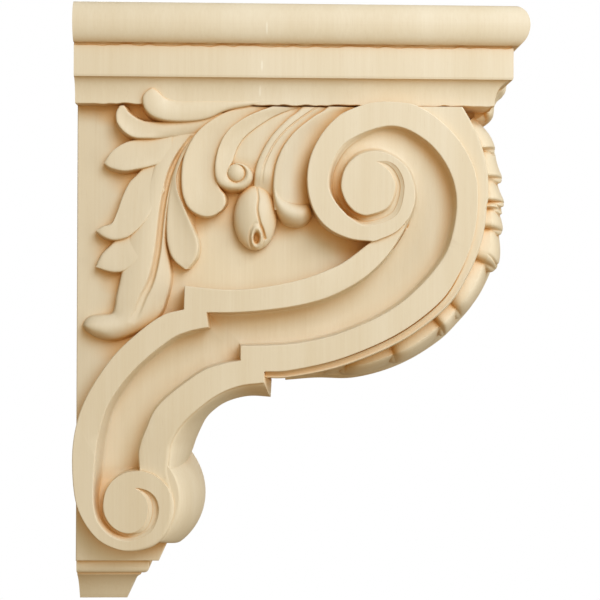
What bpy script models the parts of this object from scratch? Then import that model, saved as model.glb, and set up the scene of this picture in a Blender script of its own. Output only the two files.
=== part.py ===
"""A carved wooden corbel bracket, cut from one glued-up block.

A moulded cap runs round three sides over an S-scroll, which ends in a large volute under the cap and a
small one at the foot. Each side has a recessed panel with a spray of acanthus, the front of the belly
wears a long leaf, and a stepped foot hangs below. The back is flat, for the wall.

X = 0 is the wall, with +X to the front. Y = 0 is the middle of the width. Z = 0 is the level of the fixing
on the wall, close to half the height.
"""

import bmesh
import bpy
import numpy as np

# Every length is in millimetres, and MM turns it into metres.
MM = 0.001

# Driving sizes
HEIGHT = 353.0
FOOT_Z = -178.0
TOP = FOOT_Z + HEIGHT
BAND_HALF = 60.5  # half the width over the flat bands of the scroll
FLOOR_HALF = 45.5  # to the floor of the channel between the bands
PANEL_HALF = 43.0  # to the recessed side panel behind the leaves
SINK = 3.0  # how far a carved shape is rooted in what carries it
STAY = 0.5  # how far a joined shape stays behind a flat face, so that no two faces share a plane
CLEAR = 8.0  # how far a cutter stands out of what it cuts

# Cap: a bullnose, a flat fascia and a cove, from the top down
CAP_BOTTOM = 117.6
NOSE_RADIUS = 12.1
NOSE_BOTTOM = TOP - 2 * NOSE_RADIUS
NOSE_FRONT, NOSE_SIDE = 8.8, 6.5  # how far it stands out over the fascia
QUIRK = 1.2  # the step from the fascia out to the bullnose
FASCIA_X, FASCIA_HALF = 255.5, 57.5
FASCIA_BOTTOM = 132.0
COVE_FRONT, COVE_SIDE = 10.0, 5.5  # how far it goes back under the fascia
COVE_LIP = 1.5  # the upright edge at the bottom of the cove

# Foot: the block under the scroll, a small ovolo and a tapered neck
BLOCK_BOTTOM, BLOCK_X, BLOCK_NOSE_X, BLOCK_NOSE_Z = -152.0, 49.0, 54.5, -140.0
OVOLO_BOTTOM, OVOLO_X, OVOLO_HALF = -160.0, 43.0, 40.0
OVOLO_ROUND = 3.5  # height of its rounded lower edge
NECK_TOP_X, NECK_TOP_HALF = 37.5, 36.5
NECK_FOOT_X, NECK_FOOT_HALF = 29.5, 26.0
NECK_HOLLOW = 1.2  # how far the sides of the neck curve in
FOOT_BEVEL = 2.0

# Front roll of the lower volute: its circle at the side faces and in the middle of the width
ROLL_SIDE = (35.1, -119.0, 23.9)
ROLL_MIDDLE = (41.0, -118.6, 32.4)
ROLL_SIDES = 28
SHANK_CROWN = 9.2  # how far the middle of the shank's front stands out over its sides
RISER_CROWN = 3.7  # the same for the riser of the step
BORDER_HALF = 57.5  # half the width over the border of the belly
BORDER_CROWN = (4.0, 1.6)  # how far its middle stands forward, and down

STEPS = 3  # straight pieces in one span of a smooth outline


def smooth(points, steps=STEPS):
    """Catmull-Rom curve through the points, each span cut into equal steps of its parameter."""
    p = np.asarray(points, float)
    p = np.vstack([2 * p[0] - p[1], p, 2 * p[-1] - p[-2]])
    t = np.arange(steps)[:, None] / steps
    spans = [
        0.5 * (2 * b + (c - a) * t + (2 * a - 5 * b + 4 * c - d) * t**2 + (3 * b - a - 3 * c + d) * t**3)
        for a, b, c, d in zip(p[:-3], p[1:-2], p[2:-1], p[3:])
    ]
    return np.vstack([*spans, p[-2:-1]])


def joined(*runs):
    """Runs of points end to end, with a point that repeats the one before it left out."""
    p = np.vstack([np.atleast_2d(run) for run in runs])
    far = np.linalg.norm(p - np.roll(p, 1, axis=0), axis=1) > 0.05
    return p[far]


# Outlines of the scroll in the side view, as (x, z)
RING = [(235.4, 63.2), (233.5, 77.7), (221.8, 98.5), (200.7, 114.1), (183.3, 119.0), (160, 111.8)]
RING += [(142.7, 93.9), (135.6, 67.7), (138.3, 56.2), (149.9, 44.9), (163, 38.6), (172.9, 37)]
UPPER_BAND = [(172.9, 37), (158.1, 25.6), (147.7, 20.3), (131.5, 14.4), (108.3, 9.8), (88.6, 8.6)]
UPPER_BAND += [(64.7, 10.7)]
LEFT_BAND = [(64.3, -2.9), (51.8, -6.6), (37.2, -17.2), (22.6, -31.7), (8.9, -52.8), (2.2, -72.1)]
LEFT_BAND += [(0.4, -93.2), (3.3, -117), (13.1, -133.8), (24.5, -141), (36, -142.8), (47, -140.2)]
LEFT_BAND += [(55.3, -132.5), (59.2, -118.5), (55.7, -102)]
RIGHT_BAND = [(55.7, -102), (58.2, -82.4), (65.6, -67.4), (81.4, -54), (96, -47.4), (111, -45.3)]
BELLY = [(111.1, -38.9), (126.5, -38), (156, -31), (188.5, -16.6), (212.9, 2), (230.6, 26.8), (235.4, 63.2)]

# The belly's border beyond the scroll: its edge up to the cap, its width at both ends, and its inner end
BORDER_TOP = CAP_BOTTOM + 0.6
SHOULDER = [(226, BORDER_TOP), (235.2, 100.3), (240.3, 82.2), (241.4, 63.2)]
BORDER, BORDER_END = 5.5, 3.5  # at the shoulder, and at the step
BORDER_BACK = [(196, BORDER_TOP), (205, 60), (190, 10), (150, -20), (112, -30)]

# The block behind the panels, and the back of the shank's crowned front, both inside the scroll
CORE = [(0, 125), (222, 125), (222, 90), (215, 20), (180, -18), (105, -34), (62, -60), (48, -90)]
CORE += [(BLOCK_NOSE_X, BLOCK_NOSE_Z), (BLOCK_X, BLOCK_BOTTOM), (0, BLOCK_BOTTOM)]
SHANK_BACK = [(45, -100), (60, -55), (95, -25), (110.5, -34)]

# The channel as pairs of points on its two edges: from the tip beside the upper eye to the step, then on
# to the tip beside the lower one
EYE_GROOVE = [
    ((175, 83.2), (175.6, 84.6)), ((183.5, 77.3), (187, 79.5)), ((186.7, 67.8), (191, 67.8)),
    ((182.3, 56.8), (186, 53.5)), ((171.1, 52.2), (170.5, 48.3)), ((160.3, 56.6), (155.5, 53)),
    ((155.5, 67.8), (148.6, 67.8)),
]
UPPER_CHANNEL = [
    ((157.6, 80), (150.5, 83)), ((165.4, 87.4), (160.1, 95.7)), ((176.7, 89.5), (183.9, 104)),
    ((188, 84.9), (203.7, 96.1)), ((195.5, 76.3), (217.2, 79.9)), ((198.6, 62), (222.4, 57)),
    ((193.2, 46.8), (218.6, 36.3)), ((177, 23.2), (200.6, 10.1)), ((163.9, 12.6), (180.3, -5.1)),
    ((131.5, -0.2), (147.8, -18.5)), ((104, -3.8), (122, -23.6)), ((77.6, -4.7), (97.2, -23.9)),
]
LOWER_CHANNEL = [
    ((78.4, -13.2), (97.2, -32.3)), ((66.6, -15.9), (85.8, -34.7)), ((55.6, -21.2), (72.6, -40.1)),
    ((35.8, -38), (50.6, -57.6)), ((21.5, -59), (42.5, -73)), ((15.6, -82), (38.9, -85.5)),
    ((15.4, -92), (38.9, -95.7)),
]
FOOT_GROOVE = [
    ((15.4, -92), (38.9, -95.7)), ((15.6, -104), (24.5, -103)), ((14.6, -114), (19.6, -111.5)),
    ((16, -124), (18.9, -122.5)), ((22.5, -132.4), (24.4, -130.2)), ((32, -134.8), (31.6, -131.9)),
    ((43, -131.3), (40.2, -128.2)), ((49.8, -121), (43.8, -120)), ((46.5, -111), (41.6, -111.5)),
    ((38, -105.4), (37.6, -106.6)),
]
GROOVE_DEPTH = 2.0  # at the tips, where both grooves run out


def clear_scene():
    for old in list(bpy.data.objects):
        bpy.data.objects.remove(old)


def collection(name, helper=False):
    made = bpy.data.collections.new(name)
    bpy.context.scene.collection.children.link(made)
    made.hide_render = helper
    return made


def put(name, mesh, home):
    """Gives the mesh an object in its collection. What is in a helper collection is hidden from a render."""
    made = bpy.data.objects.new(name, mesh)
    home.objects.link(made)
    made.hide_render = home.hide_render
    made.display_type = "WIRE" if home.hide_render else "TEXTURED"
    return made


def closed_mesh(name, vertices, faces):
    mesh = bpy.data.meshes.new(name)
    mesh.from_pydata((np.asarray(vertices) * MM).tolist(), [], faces)
    work = bmesh.new()
    work.from_mesh(mesh)
    bmesh.ops.recalc_face_normals(work, faces=work.faces)
    work.to_mesh(mesh)
    work.free()
    return mesh


def loft(name, rings, home):
    """A closed skin over rings of equally many points, each end filled by its ring."""
    rings = np.asarray(rings, float)
    count, around = rings.shape[:2]
    at = np.arange(count * around).reshape(count, around)
    here, ahead = at[:-1], at[1:]
    sides = np.stack([here, np.roll(here, -1, 1), np.roll(ahead, -1, 1), ahead], axis=-1).reshape(-1, 4)
    faces = sides.tolist() + [at[0].tolist(), at[-1].tolist()]
    return put(name, closed_mesh(name, rings.reshape(-1, 3), faces), home)


def slab(name, outline, half_width, home):
    """A flat outline of the side view, extruded to both sides of the middle."""
    curve = bpy.data.curves.new(name, "CURVE")
    curve.dimensions, curve.fill_mode, curve.extrude = "2D", "BOTH", half_width * MM
    line = curve.splines.new("POLY")
    line.points.add(len(outline) - 1)
    flat = np.column_stack([outline, np.zeros(len(outline)), np.ones(len(outline)) / MM]) * MM
    line.points.foreach_set("co", flat.ravel())
    line.use_cyclic_u = True
    drawn = bpy.data.objects.new(name, curve)
    home.objects.link(drawn)
    drawn.rotation_euler.x = np.pi / 2
    bpy.context.view_layer.update()
    seen = drawn.evaluated_get(bpy.context.evaluated_depsgraph_get())
    mesh = bpy.data.meshes.new_from_object(seen)
    mesh.transform(drawn.matrix_world)
    bpy.data.objects.remove(drawn)
    work = bmesh.new()
    work.from_mesh(mesh)
    bmesh.ops.remove_doubles(work, verts=work.verts, dist=0.001 * MM)
    bmesh.ops.recalc_face_normals(work, faces=work.faces)
    work.to_mesh(mesh)
    work.free()
    return put(name, mesh, home)


def outward(line):
    """Unit normals of an open run in the side view, to the right of its direction."""
    along = np.gradient(np.asarray(line, float), axis=0)
    along /= np.linalg.norm(along, axis=1, keepdims=True)
    return np.column_stack([along[:, 1], -along[:, 0]])


def crown(share):
    """How much of the crown a place has: none at the side faces (share 1), all of it in the middle (0)."""
    return np.cos(np.abs(share) * np.pi / 2) ** 0.6


ACROSS = np.array([-1, -0.93, -0.8, -0.6, -0.3, 0, 0.3, 0.6, 0.8, 0.93, 1])


def crowned(name, front, bulge, back, half_width, home):
    """A slab with a bulging front: at each place across, it moves along its bulge by the crown there."""
    rings = []
    for share in ACROSS:
        edge = np.vstack([front + bulge * crown(share), back])
        rings.append(np.column_stack([edge[:, 0], np.full(len(edge), share * half_width), edge[:, 1]]))
    return loft(name, rings, home)


def scroll_outline():
    """The whole S-scroll in the side view, once round."""
    return joined(smooth(RING), smooth(UPPER_BAND), smooth(LEFT_BAND), smooth(RIGHT_BAND), smooth(BELLY))


def belly_border():
    """The edge of the belly from the step up to the cap: the band's edge, moved out by the border's width."""
    edge = smooth(BELLY)
    share = np.linspace(0, 1, len(edge))[:, None] ** 0.5
    wide = BORDER_END + (BORDER - BORDER_END) * share
    return joined(edge[:-2] + (outward(edge) * wide)[:-2], smooth(SHOULDER[::-1]))


def add_body(home):
    """The scroll, the core behind the panels, the belly's border, the shank's crowned front and the roll."""
    slab("scroll", scroll_outline(), BAND_HALF, home)
    slab("core", CORE, PANEL_HALF, home)

    border = belly_border()
    crowned("border", border, outward(border) * BORDER_CROWN, BORDER_BACK, BORDER_HALF, home)

    shank = smooth(RIGHT_BAND)[::-1]
    bulge = -outward(shank) * SHANK_CROWN
    bulge[0] = (RISER_CROWN, -SHANK_CROWN)
    crowned("shank", shank + (0, STAY / 2), bulge, SHANK_BACK, BAND_HALF - STAY, home)

    turn = np.linspace(0, 2 * np.pi, ROLL_SIDES, endpoint=False)
    rings = []
    for share in ACROSS:
        x, z, radius = np.array(ROLL_SIDE) + (np.array(ROLL_MIDDLE) - ROLL_SIDE) * crown(share)
        across = np.full(len(turn), share * (BAND_HALF - 1.2 * STAY))
        rings.append(np.column_stack([x + radius * np.cos(turn), across, z + radius * np.sin(turn)]))
    loft("roll", rings, home)


def add_channels(home):
    """A cutter for each side: its floor rises to the tips, where the grooves round the two eyes run out."""
    runs = [EYE_GROOVE + UPPER_CHANNEL, LOWER_CHANNEL, FOOT_GROOVE]
    upper, lower = (joined_pairs([[pair[k] for pair in run] for run in runs]) for k in (0, 1))
    count = len(upper)
    rise = np.ones(count)
    head = (len(EYE_GROOVE) - 1) * STEPS
    tail = (len(FOOT_GROOVE) - 2) * STEPS
    rise[:head] = np.linspace(0, 1, head)
    rise[-tail:] = np.linspace(1, 0, tail)
    floor = BAND_HALF - GROOVE_DEPTH - (BAND_HALF - FLOOR_HALF - GROOVE_DEPTH) * rise
    outside = BAND_HALF + CLEAR
    for side, name in ((-1, "channel_left"), (1, "channel_right")):
        rings = []
        for a, b, depth in zip(upper, lower, floor):
            low, high = side * depth, side * outside
            rings.append([(a[0], low, a[1]), (b[0], low, b[1]), (b[0], high, b[1]), (a[0], high, a[1])])
        loft(name, rings, home)


def joined_pairs(runs):
    """One edge of the channel: smooth runs end to end, with the corners of the step kept between them."""
    first, second, third = (smooth(run) for run in runs)
    return np.vstack([first, second, third[1:]])


def boxed(levels):
    """Rectangles from the wall to the front, one for each (z, front, half width)."""
    return [[(0, -half, z), (front, -half, z), (front, half, z), (0, half, z)] for z, front, half in levels]


def add_cap(home):
    """The cap's profile from the cove up over the bullnose, carried round the front and both sides."""
    levels = [(CAP_BOTTOM, -COVE_FRONT, -COVE_SIDE)]
    for turn in np.linspace(0, np.pi / 2, 5):
        rise = COVE_LIP + (FASCIA_BOTTOM - CAP_BOTTOM - COVE_LIP) * np.sin(turn)
        levels.append((CAP_BOTTOM + rise, -COVE_FRONT * np.cos(turn), -COVE_SIDE * np.cos(turn)))
    levels += [(NOSE_BOTTOM, 0, 0), (NOSE_BOTTOM + QUIRK / 2, QUIRK, QUIRK)]
    for turn in np.linspace(-np.pi / 2, np.pi / 2, 9)[1:]:
        z = NOSE_BOTTOM + NOSE_RADIUS * (1 + np.sin(turn))
        levels.append((z, NOSE_FRONT * np.cos(turn), NOSE_SIDE * np.cos(turn)))
    loft("cap", boxed([(z, FASCIA_X + front, FASCIA_HALF + side) for z, front, side in levels]), home)


def add_foot(home):
    """The ovolo and the hollow neck under the block."""
    levels = [
        (BLOCK_BOTTOM + SINK, OVOLO_X, OVOLO_HALF),
        (OVOLO_BOTTOM + OVOLO_ROUND, OVOLO_X, OVOLO_HALF),
        (OVOLO_BOTTOM + OVOLO_ROUND / 3, OVOLO_X - OVOLO_ROUND / 2, OVOLO_HALF - OVOLO_ROUND / 3),
        (OVOLO_BOTTOM, NECK_TOP_X, NECK_TOP_HALF),
    ]
    neck_end = FOOT_Z + FOOT_BEVEL
    for share in (0.35, 0.7, 1):
        hollow = NECK_HOLLOW * np.sin(share * np.pi)
        levels.append((
            OVOLO_BOTTOM + (neck_end - OVOLO_BOTTOM) * share,
            NECK_TOP_X + (NECK_FOOT_X - NECK_TOP_X) * share - hollow,
            NECK_TOP_HALF + (NECK_FOOT_HALF - NECK_TOP_HALF) * share - hollow,
        ))
    levels.append((FOOT_Z, NECK_FOOT_X - FOOT_BEVEL / 2, NECK_FOOT_HALF - FOOT_BEVEL / 2))
    loft("foot", boxed(levels), home)


# Acanthus on each side. A lobe is a run of (x, z, half width, height over the panel) from root to tip.
LOBES = {
    "cap_lobe": [
        (98, 115, 3, 7), (77, 112.6, 4.2, 9), (60, 112, 5.2, 11), (48, 114, 5.6, 11.5), (44.6, 120, 5, 11),
        (45.6, 126, 2, 9),
    ],
    "crook_lobe": [
        (84, 108, 3, 7), (62, 102, 4.4, 8.5), (46, 101.5, 5, 9), (34, 102.5, 5.2, 9.5), (27.5, 108, 4, 9),
        (27.4, 116, 1.6, 7),
    ],
    "wing_lobe": [
        (74, 101, 4, 6), (56, 93, 7, 8), (40, 88.5, 8.8, 8.5), (27, 86, 7.4, 8), (16.6, 82.3, 1, 6),
    ],
    "long_lobe": [
        (56, 88, 6, 6), (45, 72, 10, 8), (36, 57, 10.6, 8.5), (27, 46.5, 7.4, 8.5), (19, 42, 3.6, 8),
        (12, 43, 1, 6),
    ],
    "low_lobe": [
        (47, 52, 6, 6), (37, 37, 9.4, 7.5), (27, 27, 8.4, 8), (18.5, 23, 4.8, 7), (12.2, 21.5, 1, 5.5),
    ],
    "stem_lobe": [
        (54, 76, 3.5, 6), (48, 44, 8, 7.5), (43, 25, 11.5, 8), (38.5, 6, 13, 8), (30, -7, 11.5, 8),
        (19, -13.4, 7.2, 8.5), (9, -12.6, 5.2, 8), (4.6, -11.3, 2, 6),
    ],
    "pod_lobe": [
        (62, 88, 2.5, 6), (57.8, 68, 4, 7.5), (61.5, 50, 7.6, 9), (62.6, 36, 9, 9), (62.6, 26, 6.2, 8),
        (65, 20.6, 1.4, 6),
    ],
    "broad_lobe": [
        (98, 112.5, 4, 7), (83, 101, 7.4, 8.5), (74, 88, 9.4, 9.5), (72.4, 75, 9.8, 10), (75, 64, 10, 10.5),
        (80.6, 54, 5, 8.5),
    ],
    "curl_stem": [
        (112, 114.5, 3, 6), (98, 106, 5, 8), (88.6, 94, 4.6, 9), (85.6, 80, 3.2, 9.5), (89, 71, 3, 9.5),
        (97, 68.6, 3, 9.5), (101.4, 76, 2.8, 9),
    ],
    "inner_stem": [(126, 114, 3, 6), (112, 105, 6.8, 7.5), (103.5, 94, 8, 8), (99, 82, 6, 7.5)],
    "bud_stem": [
        (146, 115.5, 3, 6), (133, 110, 4.5, 7.5), (119, 98, 5.4, 8.5), (111.4, 83, 5.6, 9), (110.4, 66, 5, 9),
    ],
    "ring_lobe": [
        (160, 114.5, 5, 6), (140, 104, 8.6, 7.5), (128, 88, 9, 8.5), (124.4, 70, 8.6, 9), (122.6, 58, 5, 8),
    ],
    "ring_lobe_tip": [
        (120.8, 68, 4, 8), (121.6, 58, 5.4, 10), (127, 53, 6.4, 11), (134, 53.4, 5.6, 10.5),
        (138.2, 55.4, 2.4, 8),
    ],
}
LOBE_STEPS = 2
# Across a lobe: where each point lies, and its share of the height, from wall to wall over a shallow scoop
LOBE_ACROSS = np.array([-1, -1, -0.6, 0, 0.6, 1, 1])
LOBE_LEVEL = np.array([0, 0.62, 0.98, 0.9, 0.98, 0.62, 0])
BUD = (104.8, 51.0, 13.0, 18.8, 10.0)  # centre, half width, half height and how far it bulges over the panel
CURL = (94.5, 76.8, 5.8, 5.8, 10.5)  # the ball in the curl, given in the same way
DOME_SIDES = 16
DOME_LIFTS = (0, 0.5, 0.8, 0.96)  # share of the bulge at each ring


def lobe_sections(stations, side):
    """Cross-sections of one lobe, each square to its middle line."""
    path = smooth(stations, LOBE_STEPS)
    line, half, height = path[:, :2], path[:, 2], path[:, 3]
    rings = []
    for centre, sideways, w, h in zip(line, outward(line), half, height):
        flat = centre + sideways * (LOBE_ACROSS * w)[:, None]
        out = PANEL_HALF + LOBE_LEVEL * h
        out[[0, -1]] = PANEL_HALF - SINK
        rings.append(np.column_stack([flat[:, 0], side * out, flat[:, 1]]))
    return rings


def dome(name, place, side, home):
    """The outer half of an egg, rooted in the panel. Its radii shrink by sqrt(1 - lift^2) as it rises."""
    x, z, half_x, half_z, bulge = place
    turn = np.linspace(0, 2 * np.pi, DOME_SIDES, endpoint=False)
    around = np.column_stack([half_x * np.cos(turn), np.zeros(DOME_SIDES), half_z * np.sin(turn)])
    rings = [around + (x, side * (PANEL_HALF - SINK), z)]
    for lift in DOME_LIFTS:
        rings.append(around * np.sqrt(1 - lift**2) + (x, side * (PANEL_HALF + lift * bulge), z))
    loft(name, rings, home)


def add_leaves(home):
    for side, label in ((-1, "left"), (1, "right")):
        for name, stations in LOBES.items():
            loft(f"{name}_{label}", lobe_sections(stations, side), home)
        dome(f"bud_{label}", BUD, side, home)
        dome(f"curl_{label}", CURL, side, home)


# The long leaf on the front of the belly: its ridge in the middle of the width, from the cap down to the step
RIDGE = [(249, 117), (252, 108), (253.6, 98), (254.6, 86), (256.4, 72), (257.2, 58), (256.4, 42), (253, 24)]
RIDGE += [(246.5, 8), (236, -6), (220, -22), (196, -37), (170, -45), (145, -47), (124, -47)]
LEAF_TIPS = (-0.07, 0.01, 0.085, 0.22, 0.325, 0.495, 0.66, 0.785, 0.93, 1.05)  # shares of it where lobes end
LEAF_SWEEP = 0.07  # how much further down the leaf a lobe lies at its outer end than at the midrib
LEAF_HALF, LEAF_NOTCH = 48.5, 8.5  # half width at the tip of a lobe, and how deep the notches go
LEAF_FULL, LEAF_END = 0.72, 0.55  # where it begins to narrow, and the share of its width left at its end
LEAF_LIFT = [(0, 1.5), (0.14, 4.6), (0.36, 4.6), (0.5, 1.6), (1, 1.6)]  # (share of the ridge, a lobe's lift)
LEAF_FALL = (14.0, 8.0)  # how far its sides lie behind its ridge, at the cap and at the step
LEAF_RIB = 1.5  # how far the midrib stands out
LEAF_ROOT = 6.5  # how deep the leaf is rooted behind its sides
# Across the leaf: where each point lies, and its shares of a lobe's lift and of the midrib
LEAF_ACROSS = np.array([-1, -0.86, -0.62, -0.36, -0.13, 0, 0.13, 0.36, 0.62, 0.86, 1])
LEAF_SHARE = np.array([0.1, 0.8, 1, 0.9, 0, 0, 0, 0.9, 1, 0.8, 0.1])
LEAF_MIDDLE = np.array([0, 0, 0, 0, 0, 1, 0, 0, 0, 0, 0])


def add_front_leaf(home):
    """Cross-sections square to the ridge. A lobe swells from its root and steps back at its tip."""
    ridge = smooth(RIDGE)
    away = -outward(ridge)[:, None]
    along = np.linspace(0, 1, len(ridge))[:, None]
    swept = along - LEAF_SWEEP * np.abs(LEAF_ACROSS) ** 1.5
    place = np.interp(swept, LEAF_TIPS, np.arange(len(LEAF_TIPS))) % 1
    swell = np.sin(np.pi * place**1.4) ** 0.6
    taper = 1 - (1 - LEAF_END) * np.clip((along - LEAF_FULL) / (1 - LEAF_FULL), 0, 1) ** 2
    half = (LEAF_HALF - LEAF_NOTCH * (1 - swell[:, :1])) * taper
    lift = np.interp(along, *zip(*LEAF_LIFT)) * swell * LEAF_SHARE
    fall = np.interp(along, (0, 1), LEAF_FALL)
    height = lift + LEAF_RIB * LEAF_MIDDLE - fall * (1 - (1 - LEAF_ACROSS**2) ** 0.6)
    skin = ridge[:, None] + away * height[..., None]
    root = ridge[:, None] - away * (fall + LEAF_ROOT)[..., None] * np.ones((2, 1))
    flat = np.concatenate([skin, root], axis=1)
    across = np.concatenate([LEAF_ACROSS * half, half, -half], axis=1)
    loft("front_leaf", np.stack([flat[..., 0], across, flat[..., 1]], axis=-1), home)


# The tongue on the front of the cap, from the leaf's top over the cove and the fascia to the bullnose
TONGUE = [(245, 112), (250, 114.5), (253.4, 118.5), (254.2, 124), (257, 128.5), (260.6, 132)]
TONGUE += [(261.8, 138), (262, 146), (264.6, 151.5), (266.4, 157), (265.6, 163), (261, 168)]
TONGUE_BACK = [(240, 168), (240, 112)]
TONGUE_HALF = 28.0


def add_tongue(home):
    slab("tongue", joined(smooth(TONGUE, 2), TONGUE_BACK), TONGUE_HALF, home)


WOOD_COLOUR = (0.73, 0.60, 0.41, 1)
WOOD_ROUGHNESS = 0.55


def wood():
    """Pale, unfinished, close-grained timber."""
    made = bpy.data.materials.new("pale_wood")
    made.use_nodes = True
    shader = made.node_tree.nodes["Principled BSDF"]
    shader.inputs["Base Color"].default_value = WOOD_COLOUR
    shader.inputs["Roughness"].default_value = WOOD_ROUGHNESS
    shader.inputs["Metallic"].default_value = 0.0
    made.diffuse_color = WOOD_COLOUR
    return made


def boolean(target, operation, shapes):
    step = target.modifiers.new(operation.lower(), "BOOLEAN")
    step.operation, step.solver = operation, "EXACT"
    step.operand_type, step.collection = "COLLECTION", shapes


def main():
    clear_scene()
    corbel = collection("corbel")
    body = collection("body_shapes", helper=True)
    cutters = collection("cutters", helper=True)
    carving = collection("carving", helper=True)
    add_body(body)
    add_channels(cutters)
    add_cap(carving)
    add_foot(carving)
    add_leaves(carving)
    add_front_leaf(carving)
    add_tongue(carving)

    first = body.objects["scroll"]
    body.objects.unlink(first)
    corbel.objects.link(first)
    first.name, first.hide_render, first.display_type = "corbel", False, "TEXTURED"
    first.data.materials.append(wood())
    boolean(first, "UNION", body)
    boolean(first, "DIFFERENCE", cutters)
    boolean(first, "UNION", carving)


main()
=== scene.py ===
# %% [markdown]
# # A carved corbel bracket
# A corbel is a bracket that is fixed to a wall and carries a shelf or a worktop. This one is carved from one
# block of pale timber: a moulded cap, an S-scroll with a volute at each end, acanthus on its sides and front,
# and a small stepped foot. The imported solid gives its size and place, and everything here stays inside it. X
# runs from the wall to the front, Y across the width, and Z up. The origin is on the wall, near half height.

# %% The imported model
import bmesh
import bpy
import numpy as np
from mathutils import Matrix, Vector
from mathutils.geometry import delaunay_2d_cdt


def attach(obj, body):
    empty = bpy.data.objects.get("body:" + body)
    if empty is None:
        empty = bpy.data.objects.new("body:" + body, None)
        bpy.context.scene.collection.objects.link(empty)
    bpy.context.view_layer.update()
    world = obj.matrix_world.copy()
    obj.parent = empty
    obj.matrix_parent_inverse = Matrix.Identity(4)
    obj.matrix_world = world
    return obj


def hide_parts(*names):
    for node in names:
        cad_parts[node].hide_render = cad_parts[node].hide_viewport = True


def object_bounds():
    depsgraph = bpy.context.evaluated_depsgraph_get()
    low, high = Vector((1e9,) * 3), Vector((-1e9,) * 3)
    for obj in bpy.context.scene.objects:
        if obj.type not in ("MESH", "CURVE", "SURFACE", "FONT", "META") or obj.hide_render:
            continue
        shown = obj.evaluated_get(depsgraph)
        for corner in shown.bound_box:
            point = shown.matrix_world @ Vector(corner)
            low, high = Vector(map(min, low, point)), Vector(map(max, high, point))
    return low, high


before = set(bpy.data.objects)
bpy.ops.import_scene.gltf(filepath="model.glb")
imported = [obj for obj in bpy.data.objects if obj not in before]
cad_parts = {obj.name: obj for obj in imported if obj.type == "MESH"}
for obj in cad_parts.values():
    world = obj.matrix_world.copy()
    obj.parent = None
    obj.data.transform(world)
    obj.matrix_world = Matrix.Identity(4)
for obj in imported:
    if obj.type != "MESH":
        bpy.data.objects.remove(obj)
cad_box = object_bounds()
print("packed box in mm:", [[round(1000 * value, 1) for value in corner] for corner in cad_box])

# %% [markdown]
# ## Surfaces from arrays
# A carving can be sculpted by hand, or worked out. Worked out it stays exact: every moulding and leaf is a
# grid of points, one numpy array, found from a few lines drawn in millimetres. The helpers turn control
# points into smooth lines, and grids into closed shells.

# %% Shares and steps
MM = 0.001  # in Blender's metres
TINY = 1e-9  # keeps a division away from 0


def between(first, last, t):
    """The first at t = 0, the last at t = 1, and first + (last - first) t between them."""
    return first + (last - first) * t


def ramp(value, low, high):
    """0 at low, 1 at high, and straight between them."""
    return np.clip((value - low) / (high - low), 0, 1)


def eased(t):
    """The smooth step 3 t^2 - 2 t^3."""
    return t * t * (3 - 2 * t)


def bell(value, width):
    """exp(-(value / width)^2): 1 at 0, and next to nothing from twice the width on."""
    return np.exp(-((value / width) ** 2))


def quarter(count):
    """Angles from 0 to a right angle."""
    return np.linspace(0, np.pi / 2, count)


def spread(count):
    """Places from -1 to 1 across a width: the sine of even angles, so they lie closer towards the sides."""
    return np.sin(np.linspace(-np.pi / 2, np.pi / 2, count))


print("five places across a width:", spread(5).round(2))


# %% Smooth lines
def curve(points, count=None, step=1.2):
    """A smooth line through points, read at equal steps of its length in the first two columns.

    Between b and c, with a before and d after, it is the cubic
    0.5 (2b + (c - a) t + (2a - 5b + 4c - d) t^2 + (3b - a - 3c + d) t^3).
    """
    p = np.asarray(points, float)
    ends = np.vstack([2 * p[0] - p[1], p, 2 * p[-1] - p[-2]])
    t = np.linspace(0, 1, 20, endpoint=False)[:, None]
    a, b, c, d = (ends[k : len(ends) - 3 + k, None] for k in range(4))
    square, cube = 2 * a - 5 * b + 4 * c - d, 3 * b - a - 3 * c + d
    dense = 0.5 * (2 * b + (c - a) * t + square * t**2 + cube * t**3)
    dense = np.vstack([dense.reshape(-1, p.shape[1]), p[-1]])
    length = np.insert(np.cumsum(np.linalg.norm(np.diff(dense[:, :2], axis=0), axis=1)), 0, 0)
    count = count or max(3, int(length[-1] / step) + 2)
    at = np.linspace(0, length[-1], count)
    return np.column_stack([np.interp(at, length, column) for column in dense.T])


def unit(vectors):
    """Each vector divided by its length."""
    return vectors / np.maximum(np.linalg.norm(vectors, axis=-1, keepdims=True), TINY)


def outward(path):
    """Unit normals to the right of an open line's direction."""
    along = unit(np.gradient(path, axis=0))
    return np.column_stack([along[:, 1], -along[:, 0]])


def chained(*runs, least=0.05):
    """Lines end to end, without the points that lie within the least distance of the one before them."""
    p = np.vstack(runs)
    return p[np.linalg.norm(p - np.roll(p, 1, axis=0), axis=1) > least]


print("a line of 10 mm:", len(curve([(0, 0), (10, 0)])), "points")


# %% Closed shells
def skin(points, wrap=False):
    """A shell of quads between neighbours in a grid of points. wrap joins its last column to its first."""
    rows, columns = points.shape[:2]
    at = np.arange(rows * columns).reshape(rows, columns)
    if wrap:
        at = np.column_stack([at, at[:, 0]])
    quads = np.stack([at[:-1, :-1], at[:-1, 1:], at[1:, 1:], at[1:, :-1]], axis=-1).reshape(-1, 4)
    return points.reshape(-1, 3), [quads]


def loft(rings):
    """A closed shell over rings of equally many points, each end filled by its ring."""
    rows, columns = rings.shape[:2]
    points, faces = skin(rings, wrap=True)
    at = np.arange(rows * columns).reshape(rows, columns)
    return points, faces + [at[:1, ::-1], at[-1:]]


def join(*shells):
    """Shells as one, with the faces of each moved on past the points before them."""
    start = np.cumsum([0] + [len(points) for points, _ in shells])
    faces = [face + first for first, (_, found) in zip(start, shells) for face in found]
    return np.vstack([points for points, _ in shells]), faces


def both_sides(shell):
    """The shell and its mirror image across the middle of the width."""
    points, faces = shell
    return join(shell, (points * (1, -1, 1), [face[:, ::-1] for face in faces]))


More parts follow.
